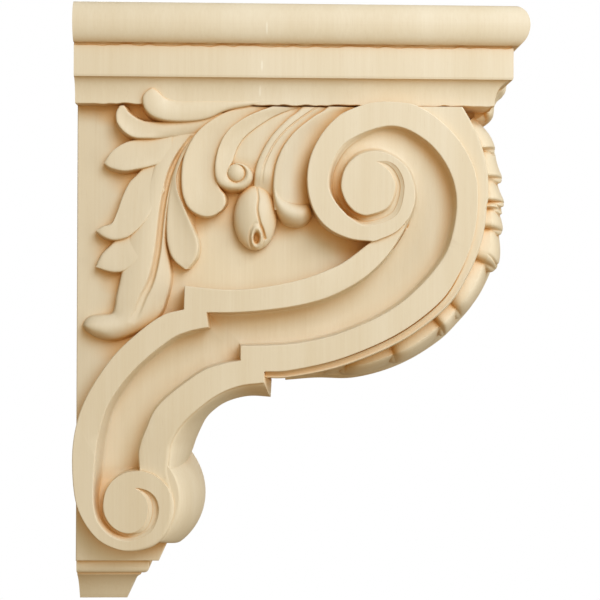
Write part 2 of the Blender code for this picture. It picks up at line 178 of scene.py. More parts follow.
def side_view(flat, across):
    """Points (x, z) of the side view placed at a distance across."""
    flat, across = np.broadcast_arrays(flat, np.asarray(across, float)[..., None])
    return np.stack([flat[..., 0], across[..., 0], flat[..., 1]], axis=-1)


# %% A finished piece
pieces = {}


def flat_edges(mesh, flatness=0.9999):
    """Marks the edges between a face square to Y and one that isn't, so that wide flats shade as flats."""
    normals = np.empty(3 * len(mesh.polygons))
    mesh.polygons.foreach_get("normal", normals)
    sizes = np.empty(len(mesh.polygons), int)
    mesh.polygons.foreach_get("loop_total", sizes)
    level = np.repeat(np.abs(normals.reshape(-1, 3)[:, 1]), sizes)
    edge_of = np.empty(len(mesh.loops), int)
    mesh.loops.foreach_get("edge_index", edge_of)
    least, most = np.full(len(mesh.edges), 2.0), np.zeros(len(mesh.edges))
    np.minimum.at(least, edge_of, level)
    np.maximum.at(most, edge_of, level)
    sharp = np.empty(len(mesh.edges), bool)
    mesh.edges.foreach_get("use_edge_sharp", sharp)
    mesh.edges.foreach_set("use_edge_sharp", sharp | ((most > flatness) & (least < flatness)))


def placed(name, data):
    """A new object in the scene."""
    made = bpy.data.objects.new(name, data)
    bpy.context.scene.collection.objects.link(made)
    return made


def carve(name, shell, crease=35, weld=0.004):
    """Makes a piece of closed shells: welds points within weld mm, turns faces outwards, and keeps edges over
    crease degrees."""
    points, faces = shell
    corners = np.concatenate([face.ravel() for face in faces])
    sizes = np.concatenate([np.full(len(face), face.shape[1]) for face in faces])
    mesh = bpy.data.meshes.new(name)
    mesh.vertices.add(len(points))
    mesh.vertices.foreach_set("co", (points * MM).ravel())
    mesh.loops.add(len(corners))
    mesh.loops.foreach_set("vertex_index", corners.astype(np.int32))
    mesh.polygons.add(len(sizes))
    mesh.polygons.foreach_set("loop_start", (np.cumsum(sizes) - sizes).astype(np.int32))
    mesh.update(calc_edges=True)
    work = bmesh.new()
    work.from_mesh(mesh)
    bmesh.ops.remove_doubles(work, verts=work.verts, dist=weld * MM)
    bmesh.ops.recalc_face_normals(work, faces=work.faces)
    work.to_mesh(mesh)
    work.free()
    mesh.shade_smooth()
    mesh.set_sharp_from_angle(angle=np.radians(crease))
    flat_edges(mesh)
    made = placed(name, mesh)
    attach(made, "root")
    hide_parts("corbel")
    pieces[name] = made
    mesh.calc_loop_triangles()
    print(f"{name}: {len(mesh.loop_triangles)} triangles")


# %% [markdown]
# ## The scroll
# The S-scroll is a thick slab, sawn to its outline and then grooved: a channel follows it from one eye to the
# other, with a flat band on either side. A Boolean would cut it, but leaves hard edges. Here the flats are
# filled between two outlines, the edges get a small rounded arris, and the channel is a grid of its own that
# meets them.

# %% The scroll's outline in the side view, as (x, z)
TOP, FOOT_Z = 1000 * cad_box[1].z, 1000 * cad_box[0].z
BAND_HALF, PANEL_HALF = 60.5, 43.0  # half the width over the flat bands, and over the recessed panels
ARRIS = 0.7  # radius of a carved edge

UPPER_BAND = [
    (172.9, 37), (158.1, 25.6), (147.7, 20.3), (131.5, 14.4), (108.3, 9.8), (88.6, 8.6), (64.7, 10.7),
]
LEFT_BAND = [
    (64.3, -2.9), (51.8, -6.6), (37.2, -17.2), (22.6, -31.7), (8.9, -52.8), (2.2, -72.1), (0.4, -93.2),
    (3.3, -117), (13.1, -133.8), (24.5, -141), (36, -142.8), (47, -140.2), (54.4, -133.6), (58.6, -124.2),
    (59.6, -115.5), (58.4, -105.6), (56.2, -97.2), (56.2, -91),
]
RIGHT_BAND = [(56.2, -91), (57.8, -80), (65.6, -67.4), (81.4, -54), (96, -47.4), (111, -45.3)]
BELLY = [
    (111.1, -38.9), (126.5, -38), (156, -31), (188.5, -16.6), (212.9, 2), (224.6, 19.6), (231.4, 36),
    (234.4, 51), (235, 64.9),
]
RING = [
    (233.6, 76.4), (229.2, 87.5), (221.8, 98.6), (212.5, 107.6), (204, 113.6), (196, 117), (188, 118),
    (180, 118.2), (172, 117.4), (162.5, 114.4), (154, 110.1), (145.2, 101.2), (138.4, 89.2), (135.6, 77.4),
    (136.1, 64.9), (140, 53.3), (147.9, 44.2), (160.2, 38.5), (172.9, 37),
]

scroll = chained(*(curve(run) for run in (UPPER_BAND, LEFT_BAND, RIGHT_BAND, BELLY + RING)))
print("scroll outline:", len(scroll), "points")


# %% A slab with rounded arrises
INSIDE_WITH_HOLES, SNAP = 2, 1e-6  # what the triangulation keeps, and the distance at which it joins points


def inset(loop, distance):
    """A closed outline moved inwards along the bisector at each point, by distance / cos(half the turn)."""
    ahead = unit(np.roll(loop, -1, axis=0) - loop)
    behind = np.roll(ahead, 1, axis=0)
    x, z = loop.T
    turn = np.sign(np.sum(x * np.roll(z, -1) - z * np.roll(x, -1)))
    inward = turn * np.stack([-ahead[:, 1], ahead[:, 0]], axis=-1)
    bisector = unit(inward + turn * np.stack([-behind[:, 1], behind[:, 0]], axis=-1))
    stretch = 1 / np.maximum((bisector * inward).sum(axis=1), 0.5)
    return loop + bisector * (distance * stretch)[:, None]


def within(points, loop):
    """Which points lie inside a closed loop: those with an odd number of its edges to their right."""
    (x, z), (x0, z0), (x1, z1) = points.T[..., None], loop.T, np.roll(loop, -1, axis=0).T
    crossing = x0 + (z - z0) * (x1 - x0) / np.where(z1 == z0, TINY, z1 - z0)
    return (((z0 > z) != (z1 > z)) & (x < crossing)).sum(axis=1) % 2 == 1


def filled(outline, holes, across, extra=(), clear=0.5):
    """Triangles that fill a flat outline of the side view, round its holes, and through those of the extra
    points that are clear of both."""
    loops = [outline, *holes]
    if len(extra):
        extra = extra[within(extra, outline) & ~np.any([within(extra, hole) for hole in holes], axis=0)]
        gap = np.sqrt(((extra[:, None] - np.vstack(loops)) ** 2).sum(axis=-1)).min(axis=1)
        loops.append(extra[gap > clear])
    start = np.cumsum([0] + [len(loop) for loop in loops])
    at = [np.arange(len(loop)) + first for loop, first in zip(loops, start)]
    edges = np.vstack([np.column_stack([ring, np.roll(ring, -1)]) for ring in at[: 1 + len(holes)]]).tolist()
    points = [Vector(p) for p in np.vstack(loops)]
    found = delaunay_2d_cdt(points, edges, [at[0].tolist()], INSIDE_WITH_HOLES, SNAP)
    flat = np.array([tuple(p) for p in found[0]])
    return side_view(flat, across), [np.array(found[2])]


def slab(outline, half, holes=(), arris=ARRIS, turns=7, extra=()):
    """A slab from -half to half. At an angle t round its arris it is inset by arris (1 - sin t), and stands
    arris (1 - cos t) behind the flat face. The arris is one radius, or one for each point."""
    steps = [(arris * (1 - np.sin(t)), arris * (1 - np.cos(t)) - half) for t in quarter(turns)]
    near = [side_view(inset(outline, inwards), across) for inwards, across in steps]
    rings = np.array(near + [ring * (1, -1, 1) for ring in near[::-1]])
    face = inset(outline, arris)
    return join(skin(rings, wrap=True), *(filled(face, holes, side * half, extra) for side in (-1, 1)))


# %% The channel between the bands
# Its stations from the point beside the upper eye to the step: (x, z) on the inner edge, (x, z) on the outer
# edge, depth, and how wide its inner and outer walls slope.
EYE_GROOVE = [
    (175.1, 83.5, 175.1, 83.5, 0, 0.2, 0.2), (180.5, 80.2, 183.2, 83, 1, 0.6, 1.6),
    (184.6, 75.4, 188.8, 78, 1.6, 0.8, 2.4), (186.7, 67.8, 191.6, 67.8, 2, 0.8, 3),
    (182.3, 56.8, 186.8, 52.2, 2.4, 0.7, 4.2), (171.1, 52.2, 170.5, 46.4, 4, 0.5, 4.4),
    (164.6, 53.4, 161.4, 50.2, 7, 0.3, 2.6), (160.3, 56.8, 156.4, 54.6, 10.5, 0.2, 0.5),
    (157, 61.8, 151.2, 61, 10.5, 0.2, 1.4), (155, 69.6, 148, 69.6, 8.6, 0.3, 4.6),
]
UPPER_CHANNEL = [
    (157.6, 79.8, 150.2, 82.8, 6, 0.6, 4.6), (165.4, 87.4, 160.1, 95.7, 5.2, 1.2, 2.4),
    (176.7, 89.5, 183.9, 104, 6, 1.4, 0.7), (188, 84.9, 203.7, 96.1, 7.2), (195.5, 76.3, 217.2, 79.9, 8.6),
    (198.3, 62, 222.3, 60.2, 10), (193.2, 46.8, 218.6, 36.3, 11.4), (184.8, 32.4, 209.9, 21, 12.6, 1.2),
    (175.6, 21.8, 195.6, 5.8, 13.6), (163.9, 12.6, 180.3, -5.1, 14.4), (147.7, 4.4, 163.5, -13, 15),
    (131.5, -0.2, 147.8, -18.5), (112, -3.2, 129.9, -22.3), (94, -4.6, 112, -23.6), (77.6, -4.7, 97.2, -23.9),
]
LOWER_CHANNEL = [
    (78.4, -13.2, 97.2, -32.3, 15, 1.2, 0.7), (66.6, -15.9, 85.8, -34.7), (55.6, -21.2, 72.6, -40.1, 15, 1.4),
    (35.8, -38, 50.6, -57.6, 15, 1.8), (21.5, -57.5, 42.5, -73, 15, 2.4), (15.5, -76.5, 38.9, -83.5, 15, 2.6),
    (13.7, -89.3, 38.6, -90), (13.3, -95.5, 39.2, -96.3, 14.8),
]
FOOT_GROOVE = [
    (13.3, -95.5, 39.2, -96.3, 14.8, 2.6, 0.7), (13.1, -98.5, 34.8, -96.7, 14.8, 2.6, 0.3),
    (13, -101, 30.9, -97.6, 14.6, 2.6, 0.1), (12.9, -103.8, 26.9, -99.5, 14.2, 2.4),
    (12.8, -106.8, 23.3, -102.4, 13.4, 2.2), (12.8, -110.2, 20.7, -106, 11.4),
    (12.9, -114, 19.2, -109.8, 9.2), (13.4, -118.4, 18.2, -115.6, 7.6, 2.4, 0.2),
    (14.6, -123.2, 18.9, -121.2, 6, 2.8, 0.6), (16.4, -127.1, 21.4, -126.2, 5.4, 3),
    (22, -133, 25.6, -130.3, 4.6, 2.8), (30, -136.2, 31.1, -132.5, 3.4, 2.6),
    (38, -135.6, 36.2, -132, 1.8, 2.4, 0.8), (45.6, -131.6, 41.2, -128.7, 1.2, 1.4, 2.4),
    (49.4, -124.4, 43.7, -123.6, 1.7, 0.8, 3.4), (50.2, -117.6, 44.7, -117.6, 2.1, 0.7, 3.2),
    (48.4, -111.9, 43.5, -112.6, 2.1, 0.7, 2.6), (44.6, -108.2, 40.8, -109.2, 1.7, 0.7, 1.8),
    (40, -106.4, 38, -107.2, 0.8, 0.5, 0.8), (36.4, -106.1, 36.4, -106.1, 0, 0.2, 0.2),
]


def stations(rows, step=1.5):
    """Rows of two edge points and sizes as a smooth run, with its steps measured on its middle line. A shorter
    row goes on as the row before it ends."""
    whole = [rows[0]]
    for row in rows[1:]:
        whole.append((*row, *whole[-1][len(row) :]))
    whole = np.array(whole, float)
    middle = (whole[:, :2] + whole[:, 2:4]) / 2
    return curve(np.column_stack([middle, whole]), step=step)[:, 2:]


upper, lower = stations(EYE_GROOVE + UPPER_CHANNEL), stations(LOWER_CHANNEL + FOOT_GROOVE)
print("channel:", len(upper) + len(lower), "sections")

# %% The channel's surface
FULL_DEPTH, FLOOR_DISH = 15.0, 0.9  # its depth, and how much deeper the middle of its floor lies
FILLET = 2.0  # radius between a wall and the floor
FILLET_SLOPE = 0.7  # a wall that slopes less than this has a smaller fillet


def channel(rows):
    """The channel's surface on the near side, one row of points for each station.

    Across it, from either edge, as (way in, depth): the arris at (-arris (1 - sin t), arris (1 - cos t)), the
    wall down its slope, in an S where it is gentle, the fillet at (slope + r (1 - cos t),
    depth - r (1 - sin t)), and the floor, dished by sin(pi v).
    """
    inner, outer, depth = rows[:, :2], rows[:, 2:4], rows[:, 4:5]
    width = np.linalg.norm(outer - inner, axis=1, keepdims=True)
    edge = np.minimum(ARRIS, depth / 4)
    t, s, v = quarter(4), np.linspace(0, 1, 7)[1:-1], np.linspace(0, 1, 9)[1:-1]
    sides = []
    for slope in rows[:, 5:].T[..., None]:
        fillet = np.minimum(FILLET * np.clip(slope / FILLET_SLOPE, 0.1, 1), depth / 3)
        shrink = np.minimum(1, 0.45 * width / np.maximum(slope + fillet, TINY))
        gentle = np.clip(2 * slope / np.maximum(depth, TINY), 0, 1)
        wall = edge + (depth - fillet - edge) * between(s, eased(s), gentle)
        over_wall = np.hstack([slope * s, slope + fillet * (1 - np.cos(t))]) * shrink
        way = np.hstack([-edge * (1 - np.sin(t)), over_wall])
        down = np.hstack([edge * (1 - np.cos(t)), wall, depth - fillet * (1 - np.sin(t))])
        sides.append((way, down))
    (way, down), (back, down_back) = sides
    back = (width - back)[:, ::-1]
    floor = depth + FLOOR_DISH * np.minimum(1, depth / FULL_DEPTH) * np.sin(np.pi * v)
    way = np.hstack([way, between(way[:, -1:], back[:, :1], v), back])
    down = np.hstack([down, floor, down_back[:, ::-1]])
    return side_view(inner[:, None] + unit(outer - inner)[:, None] * way[..., None], down - BAND_HALF)


# %% [markdown]
# The channel's first and last columns are its rim, so they outline the hole in the flats. Each volute's ring
# crosses the band beside it, and lies over it. A ring of its own would show a seam, so the band is sunk
# there: the flats get points along the crossing, and every point near it moves back.

# %% The rings over the bands
RING_EDGES = [  # each line, and how far it takes to fade in and out at its ends, in mm
    ([(144, 46.2), (152, 40.7), (160.2, 37.9), (166.2, 36.9), (172.9, 36.9), (177.8, 38.3), (187.1, 42.6),
      (193, 48.4), (196, 53)], 13.5, 7),
    ([(60.3, -118.9), (59.1, -113.1), (57.4, -109), (55, -105.2), (51.6, -101.4), (47.6, -98.6), (43.5, -97),
      (39.2, -96.1), (34, -95.8), (28, -97.2), (22, -100.8)], 0.5, 16),
]
EDGE_STEP = 0.3  # between the points that distances to a line are measured to
SUNK, SUNK_REACH = 1.7, 20.0  # how far the band is sunk beside a ring, and how far from it that fades
SUNK_ROUND = [-0.6, -0.15, 0.15, 0.5, 1.2, 2.5, 4.5, 7.5, 11, 15, 20, 26, 33]  # lines of points beside a ring
SUNK_HALF = 50.0  # what lies deeper in the channel stays


def sink(points):
    """Moves the near and far faces back by SUNK exp(-(d / SUNK_REACH)^2), d being the way to the right of a
    ring's edge. Towards the ends of the edge the step fades."""
    points = points.copy()
    for edge, fade_in, fade_out in RING_EDGES:
        near = curve(edge, step=EDGE_STEP)
        gap = points[:, None, [0, 2]] - near
        best = (gap**2).sum(axis=2).argmin(axis=1)
        away = (gap[np.arange(len(points)), best] * outward(near)[best]).sum(axis=1)
        fade = ramp(best * EDGE_STEP, 0, fade_in) * ramp((len(near) - 1 - best) * EDGE_STEP, 0, fade_out)
        depth = SUNK * ramp(away, -EDGE_STEP / 2, EDGE_STEP / 2) * bell(away, SUNK_REACH) * fade
        points[:, 1] -= depth * np.sign(points[:, 1]) * (np.abs(points[:, 1]) > SUNK_HALF)
    return points


# %% Carving the scroll
SOFTER = 1.9  # how much rounder its edge is at the bottom front, where the roll swells out of the band

pocket = channel(np.vstack([upper, lower]))
rim = chained(pocket[:, 0][:, [0, 2]], pocket[::-1, -1][:, [0, 2]])
arris = ARRIS + SOFTER * ramp(scroll[:, 1], -62, -82) * ramp(scroll[:, 0], 30, 50)
edges = [curve(edge, step=1.0) for edge, *_ in RING_EDGES]
extra = np.concatenate([edge + outward(edge) * away for edge in edges for away in SUNK_ROUND])
points, faces = join(slab(scroll, BAND_HALF, [rim], arris, extra=extra), both_sides(skin(pocket)))
carve("scroll", (sink(points), faces))

# %% [markdown]
# ## The block behind the panels
# The block between the two side panels is flat and plain. It is the ground that the leaves lie on. A cube
# would stick out behind the scroll, so it is a slab again, with an outline that stays inside the scroll's.

# %% The block
CAP_BOTTOM, BLOCK_BOTTOM = 117.1, -152.0
TENON = 4.0  # how far the block's back steps in where it runs up into the cap, and the foot's into the block
CORE = [
    (0, CAP_BOTTOM), (TENON, CAP_BOTTOM + 0.4), (TENON, 125), (222, 125), (222, 90), (215, 20), (180, -18),
    (105, -34), (62, -60), (48, -90), (54.5, -140), (49, BLOCK_BOTTOM), (0, BLOCK_BOTTOM),
]
carve("block", slab(np.array(CORE), PANEL_HALF, arris=0.9))

# %% [markdown]
# ## Crowned fronts
# Seen from the front, the shank and the roll below it swell between their two sides. A bevel can't give that.
# Each is the same line of the side view at every place across, moved forward by a crown that is nothing at
# the sides and full in the middle.

# %% The shank and the roll
ACROSS = spread(57)
TURN = np.linspace(0, 2 * np.pi, 97)[:-1]
STRIP = 8.0  # how deep a front strip is rooted under the band beside it
FRONT_HALF, ROLL_HALF = BAND_HALF - 2.4, BAND_HALF - 2.0
SHANK_MIDDLE = [
    (115.5, -47.5), (115, -57.6), (104.4, -56.8), (96, -57.8), (87.6, -60.6), (80.7, -65.1), (74.4, -71.8),
    (68.9, -83.2), (66.2, -90.9), (64.1, -95.8), (60, -103),
]
SHANK_END = [(56.2, -91), (56.4, -97), (57.8, -102), (59, -108)]
ROLL_SIDE, ROLL_MIDDLE = np.array((31.4, -112.4, 30.2)), np.array((40.9, -119.6, 33.2))  # centre and radius
ROLL_BACK = [(-143, 36.0), (-134, 46.0)]  # its back, as (z, x), clear of the channel
ROLL_BOTTOM = (-137.5, -146.0)  # how low it goes at the sides and in the middle


def crown(place):
    """cos(place pi/2) to the power 0.6: all of the crown in the middle, none at the side faces."""
    return np.abs(np.cos(place * np.pi / 2)) ** 0.6


def crowned(side, middle, half):
    """A closed shell whose front goes from its line at the sides to its line in the middle by the crown."""
    front = between(side, middle, crown(ACROSS)[:, None, None])
    rear = (side + outward(side) * STRIP)[::-1]
    rear = np.broadcast_to(rear, (len(ACROSS), len(rear), 2))
    return loft(side_view(np.hstack([front, rear]), ACROSS[:, None] * half))


def roll():
    """Circles whose centre and radius go from the sides' to the middle's by the crown, cut off at the bottom
    and along the back."""
    x, z, radius = between(ROLL_SIDE, ROLL_MIDDLE, crown(ACROSS)[:, None]).T[..., None]
    bottom = between(*ROLL_BOTTOM, 1 - ACROSS[:, None] ** 2)
    highest = z + np.sqrt(radius**2 - (ROLL_BACK[1][1] - x) ** 2)  # where its front meets its back
    z = np.clip(z + radius * np.sin(TURN), bottom, highest)
    x = np.maximum(x + radius * np.cos(TURN), np.interp(z, *zip(*ROLL_BACK)))
    return loft(side_view(np.stack([x, z], axis=-1), ACROSS[:, None] * ROLL_HALF))


shank_side = chained([(111, -39.5)], curve(RIGHT_BAND)[::-1], curve(SHANK_END)[1:])
shank_middle = np.vstack([SHANK_MIDDLE[:1], curve(SHANK_MIDDLE[1:], count=len(shank_side) - 1)])
carve("shank_and_roll", join(crowned(shank_side, shank_middle, FRONT_HALF), roll()))

# %% [markdown]
# Past the band's edge the belly has a border. Low down it is a narrow cove between two fine grooves, and up
# at the shoulder it widens to a flat that lies 3 mm behind the band. A profile carried along a path would
# keep one shape, so here the section is worked out anew at each step.

# %% The belly's border
BORDER_HALF = 57.5
BORDER_CROWN = (4.0, 1.6)  # how far its middle stands forward, and down
BORDER_TOP = CAP_BOTTOM - 1.1
SHOULDER = [(241.4, 63.2), (240.6, 80), (236.4, 96), (231, 107.5), (226, BORDER_TOP)]
BORDER, BORDER_END = 5.5, 3.5  # its width at the shoulder, and at the step
BORDER_ROOT = [(233.6, 76.4), (221.8, 98.6), (206, 111), (196, BORDER_TOP)]  # the band's edge, to the cap
COVE_ENDS = (-12.0, 30.0)  # the heights between which the cove runs out into the flat
# Across the border from its edge inwards: (distance, how far behind BORDER_HALF, the same where it is flat)
BORDER_ACROSS = [
    (0, 1, 1), (0.12, 0.5, 0.5), (0.45, 0.12, 0.12), (1, 0.3, 0), (1.8, 0.9, 0), (2.6, 1.1, 0), (3.4, 0.9, 0),
    (4, 0.5, 0), (4.5, 1.4, 0), (5.2, 3, 0),
]


def border():
    """Sections along the belly, each from the near root out to the edge, over the crowned front, and back.

    The side face goes from its cove to its flat by the smooth step of the height.
    """
    edge = curve(BELLY)
    width = between(BORDER_END, BORDER, np.linspace(0, 1, len(edge))[:, None] ** 0.5)
    line = np.vstack([(edge + outward(edge) * width)[:-5], curve(SHOULDER)])  # with room for a smooth turn
    root = curve(BELLY + BORDER_ROOT, count=len(line))
    root = root - outward(root) * STRIP * ramp(root[:, 1:], CAP_BOTTOM - 1, CAP_BOTTOM - 9)
    level = ramp(line[:, 1:], 100, CAP_BOTTOM - 1) ** 2
    away = unit(between(outward(line), np.array((1, 0)), level))[:, None]
    inside, cove, flat = np.array(BORDER_ACROSS[::-1]).T
    side = np.hstack([root[:, None], line[:, None] - away * inside[:, None]])
    side_at = between(cove, flat, eased(ramp(line[:, 1:], *COVE_ENDS))) - BORDER_HALF
    side_at = np.hstack([side_at[:, :1], side_at])
    over = ACROSS[1:-1]
    front = line[:, None] + away * BORDER_CROWN * crown(over)[:, None]
    front_at = np.ones((len(line), 1)) * over * (BORDER_HALF - BORDER_ACROSS[0][1])
    across = np.hstack([side_at, front_at, -side_at[:, ::-1]])
    return loft(side_view(np.hstack([side, front, side[:, ::-1]]), across))


carve("belly_border", border())

# %% [markdown]
# ## The cap
# A moulding plane runs one profile round the front and both sides, so the cap is that profile carried round
# three sides of a rectangle. A curve with a bevel object would round its corners, and here they stay mitred.
# The quirk under the bullnose is torn a little, as end grain tears.

# %% The cap
NOSE_RADIUS = 12.1
NOSE_BOTTOM = TOP - 2 * NOSE_RADIUS
NOSE_FRONT, NOSE_SIDE = 8.8, 6.5  # how far the bullnose stands out over the fascia
QUIRK = 0.8  # the same for its lower edge
FASCIA_X, FASCIA_HALF, FASCIA_BOTTOM = 255.5, 57.5, 132.0
COVE_FRONT, COVE_SIDE = 10.0, 5.5  # how far the cove goes back under the fascia
COVE_LIP = 1.5
# The tear's waves: the height and length of each, and how far a slower wave of another length shifts it
TEAR = [(0.35, 3.1, 1.3, 7.7), (0.3, 1.7, 1.0, 4.1), (0.25, 11.0, 0.0, 1.0)]


def cap_profile():
    """Rows of (z, how far forward of the fascia at the front, at the sides, share of the tear), upwards."""
    lip = [(CAP_BOTTOM, 1, 0.6), (CAP_BOTTOM + 0.3, 0.96, 0.6), (CAP_BOTTOM + COVE_LIP, 0.96, 0.2)]
    rise = FASCIA_BOTTOM - CAP_BOTTOM - COVE_LIP
    cove = [(CAP_BOTTOM + COVE_LIP + rise * np.sin(t), 0.96 * np.cos(t), 0) for t in quarter(16)[1:]]
    rows = [(z, -COVE_FRONT * back, -COVE_SIDE * back, tear) for z, back, tear in lip + cove]
    rows += [(FASCIA_BOTTOM + 0.5, 0.15, 0.15, 0), (FASCIA_BOTTOM + 1.2, 0.3, 0.3, 0)]
    rows += [(z, 0.3, 0.3, 0.2) for z in np.linspace(FASCIA_BOTTOM + 3, NOSE_BOTTOM - 2, 6)]
    rows += [(NOSE_BOTTOM - 0.9, 0.25, 0.25, 0.8), (NOSE_BOTTOM - 0.2, -0.5, -0.5, 1)]
    rows += [(NOSE_BOTTOM + 0.4, -0.4, -0.4, 1), (NOSE_BOTTOM + 0.9, QUIRK, QUIRK, 1)]
    for t in np.linspace(-np.pi / 2, np.pi / 2, 30)[3:]:
        z = NOSE_BOTTOM + NOSE_RADIUS * (1 + np.sin(t))
        rows.append((z, NOSE_FRONT * np.cos(t), NOSE_SIDE * np.cos(t), 0.5 * max(0, np.cos(t) - 0.6)))
    return np.array(rows)


def cap_path(step=1.5):
    """Points from the wall along one side, round the front and back: how much each follows front and side."""
    along = np.linspace(0, 1, int(FASCIA_X / step))
    over = np.linspace(-1, 1, int(2 * FASCIA_HALF / step))
    x = np.concatenate([along, np.ones(len(over) - 2), along[::-1]])
    y = np.concatenate([-np.ones(len(along)), over[1:-1], np.ones(len(along))])
    return x, y


def cap():
    """The profile at each point of the path: x = along (fascia + front), y = over (half + side)."""
    along, over = cap_path()
    z, front, side, tear = (column[:, None] for column in cap_profile().T)
    way = np.cumsum(np.hypot(np.diff(along * FASCIA_X, prepend=0), np.diff(over * FASCIA_HALF, prepend=-1)))
    ragged = sum(high * np.sin(way / long + shift * np.sin(way / slow)) for high, long, shift, slow in TEAR)
    x, y = along * (FASCIA_X + front), over * (FASCIA_HALF + side)
    return loft(np.stack([x, y, z + tear * ragged], axis=-1))


carve("cap", cap())

# %% [markdown]
# ## The foot
# Under the block come a small ovolo and a tapered neck, cut on three sides. Stacked boxes would leave seams
# between them, so it is one loft. Each level is a rectangle with its front corners just broken.

# %% The foot
OVOLO_BOTTOM = -160.0
OVOLO, OVOLO_ROUND = np.array((43.0, 40.0)), np.array((3.5, 2.5))  # at the front and at the sides, as below
NECK_TOP, NECK_FOOT = np.array((37.5, 36.5)), np.array((29.5, 26.0))
NECK_HOLLOW, NECK_FLARE = 1.2, 3.0
FOOT_BEVEL, CORNER = 2.0, 0.5


def foot():
    """Rectangles down the foot, from rows of (z, front, half width).

    The ovolo is a quarter round under a straight part. At a share s down the neck it lies hollow sin(pi s) -
    flare exp(-s / 0.1) inside the straight line from its top to its foot.
    """
    t, s = quarter(7)[:, None], np.linspace(0, 1, 13)[1:, None]
    top = [(BLOCK_BOTTOM + 3, *OVOLO), (BLOCK_BOTTOM, *OVOLO)]
    z = OVOLO_BOTTOM + OVOLO_ROUND[0] * (1 - np.sin(t))
    ovolo = np.hstack([z, OVOLO - OVOLO_ROUND * (1 - np.cos(t))])
    hollow = NECK_HOLLOW * np.sin(s * np.pi) - NECK_FLARE * np.exp(-s / 0.1)
    z = between(OVOLO_BOTTOM, FOOT_Z + FOOT_BEVEL, s)
    neck = np.hstack([z, between(NECK_TOP, NECK_FOOT, s) - hollow])
    end = (FOOT_Z, *(NECK_FOOT - FOOT_BEVEL / 2))
    z, front, half = np.vstack([top, ovolo, (OVOLO_BOTTOM, *NECK_TOP), neck, end]).T[..., None]
    back = np.where(z > BLOCK_BOTTOM, TENON, 0.0)
    soft = 0.3 * CORNER
    x = np.hstack([back, front - CORNER, front - soft, front, front, front - soft, front - CORNER, back])
    y = np.hstack([-half, -half, soft - half, CORNER - half, half - CORNER, half - soft, half, half])
    return loft(np.stack([x, y, z * np.ones(8)], axis=-1))


carve("foot", foot())

# %% [markdown]
# ## The leaf on the front
# A long acanthus leaf hangs down the belly from under the cap. Its lobes overlap like tiles, each swelling
# from its root and stepping back at its tip. Lobes made one by one would leave gaps where they meet, so the
# whole leaf is one grid of heights over the line of its ridge.

# %% The front leaf's lines and sizes
RIDGE = [
    (240, 117), (246, 110.6), (250.6, 104), (253.4, 96), (254.8, 86), (256.4, 72), (257.2, 58), (256.8, 42),
    (254, 27), (246.9, 10.5), (239.3, -1), (231.9, -9.6), (222, -19.7), (208.2, -29.4), (195.7, -36),
    (183.3, -40.7), (170.8, -43.8), (160.6, -44.9), (143.4, -44.6), (124, -46.1),
]
# Its lobes: the tip's place along the leaf, base and lift over the ridge's level, rise and drop
LEAF_LOBES = [
    (0.112, -0.8, 1.2, 0.6, 99), (0.184, 0.4, 2.9, 1.8, 14), (0.243, -0.6, 4.3, 1.3, 10),
    (0.26, -0.8, 3.2, 0.8, 4), (0.311, -1.2, 3.8, 0.6, 5), (0.406, -1.4, 5.2, 0.6, 6),
    (0.548, -2.2, 3.2, 0.6, 6), (0.607, -2, 3, 0.6, 6), (0.745, -2.4, 3.4, 0.6, 6),
    (0.873, -2.4, 3.2, 0.6, 6), (0.922, -2, 2.4, 0.6, 5), (0.966, -1.8, 2.2, 0.6, 5), (1.03, -1.6, 2, 0.6, 5),
]
LEAF_SLITS, SLIT_WIDTH = [(0.114, 1.4), (0.383, 1.0)], 0.003  # fine cuts across it: place and depth
LOBE_MIDDLE, LOBE_BOW = 0.72, 0.03  # where across the leaf a tip lies lowest, and how far its ends bow up
LOBE_OUT, LOBE_IN = 0.42, 0.5  # how far from there, towards the edge and the midrib, it has bowed up by that
LEAF_HALF, LEAF_NOTCH = 48.5, 7.0  # half its width, and how far it draws in between two lobes
LEAF_FULL, LEAF_END = 0.72, 0.55  # how far along it narrows from, and to what share
LEAF_FALL = (14.0, 8.0)  # how far its sides fall away at its top and at its end
LEAF_RIB, RIB_WIDTH = 1.4, 0.07
SCOOP, SCOOP_WIDTH = 0.36, 0.13  # where across the leaf the scoop beside the rib lies
SCOOP_DEPTH = ((0.4, 0.55), (1.3, 2.4))  # its depth goes between the first two places from 1.3 to 2.4 mm
LEAF_ROOT = 6.5  # how deep its back lies under its sides


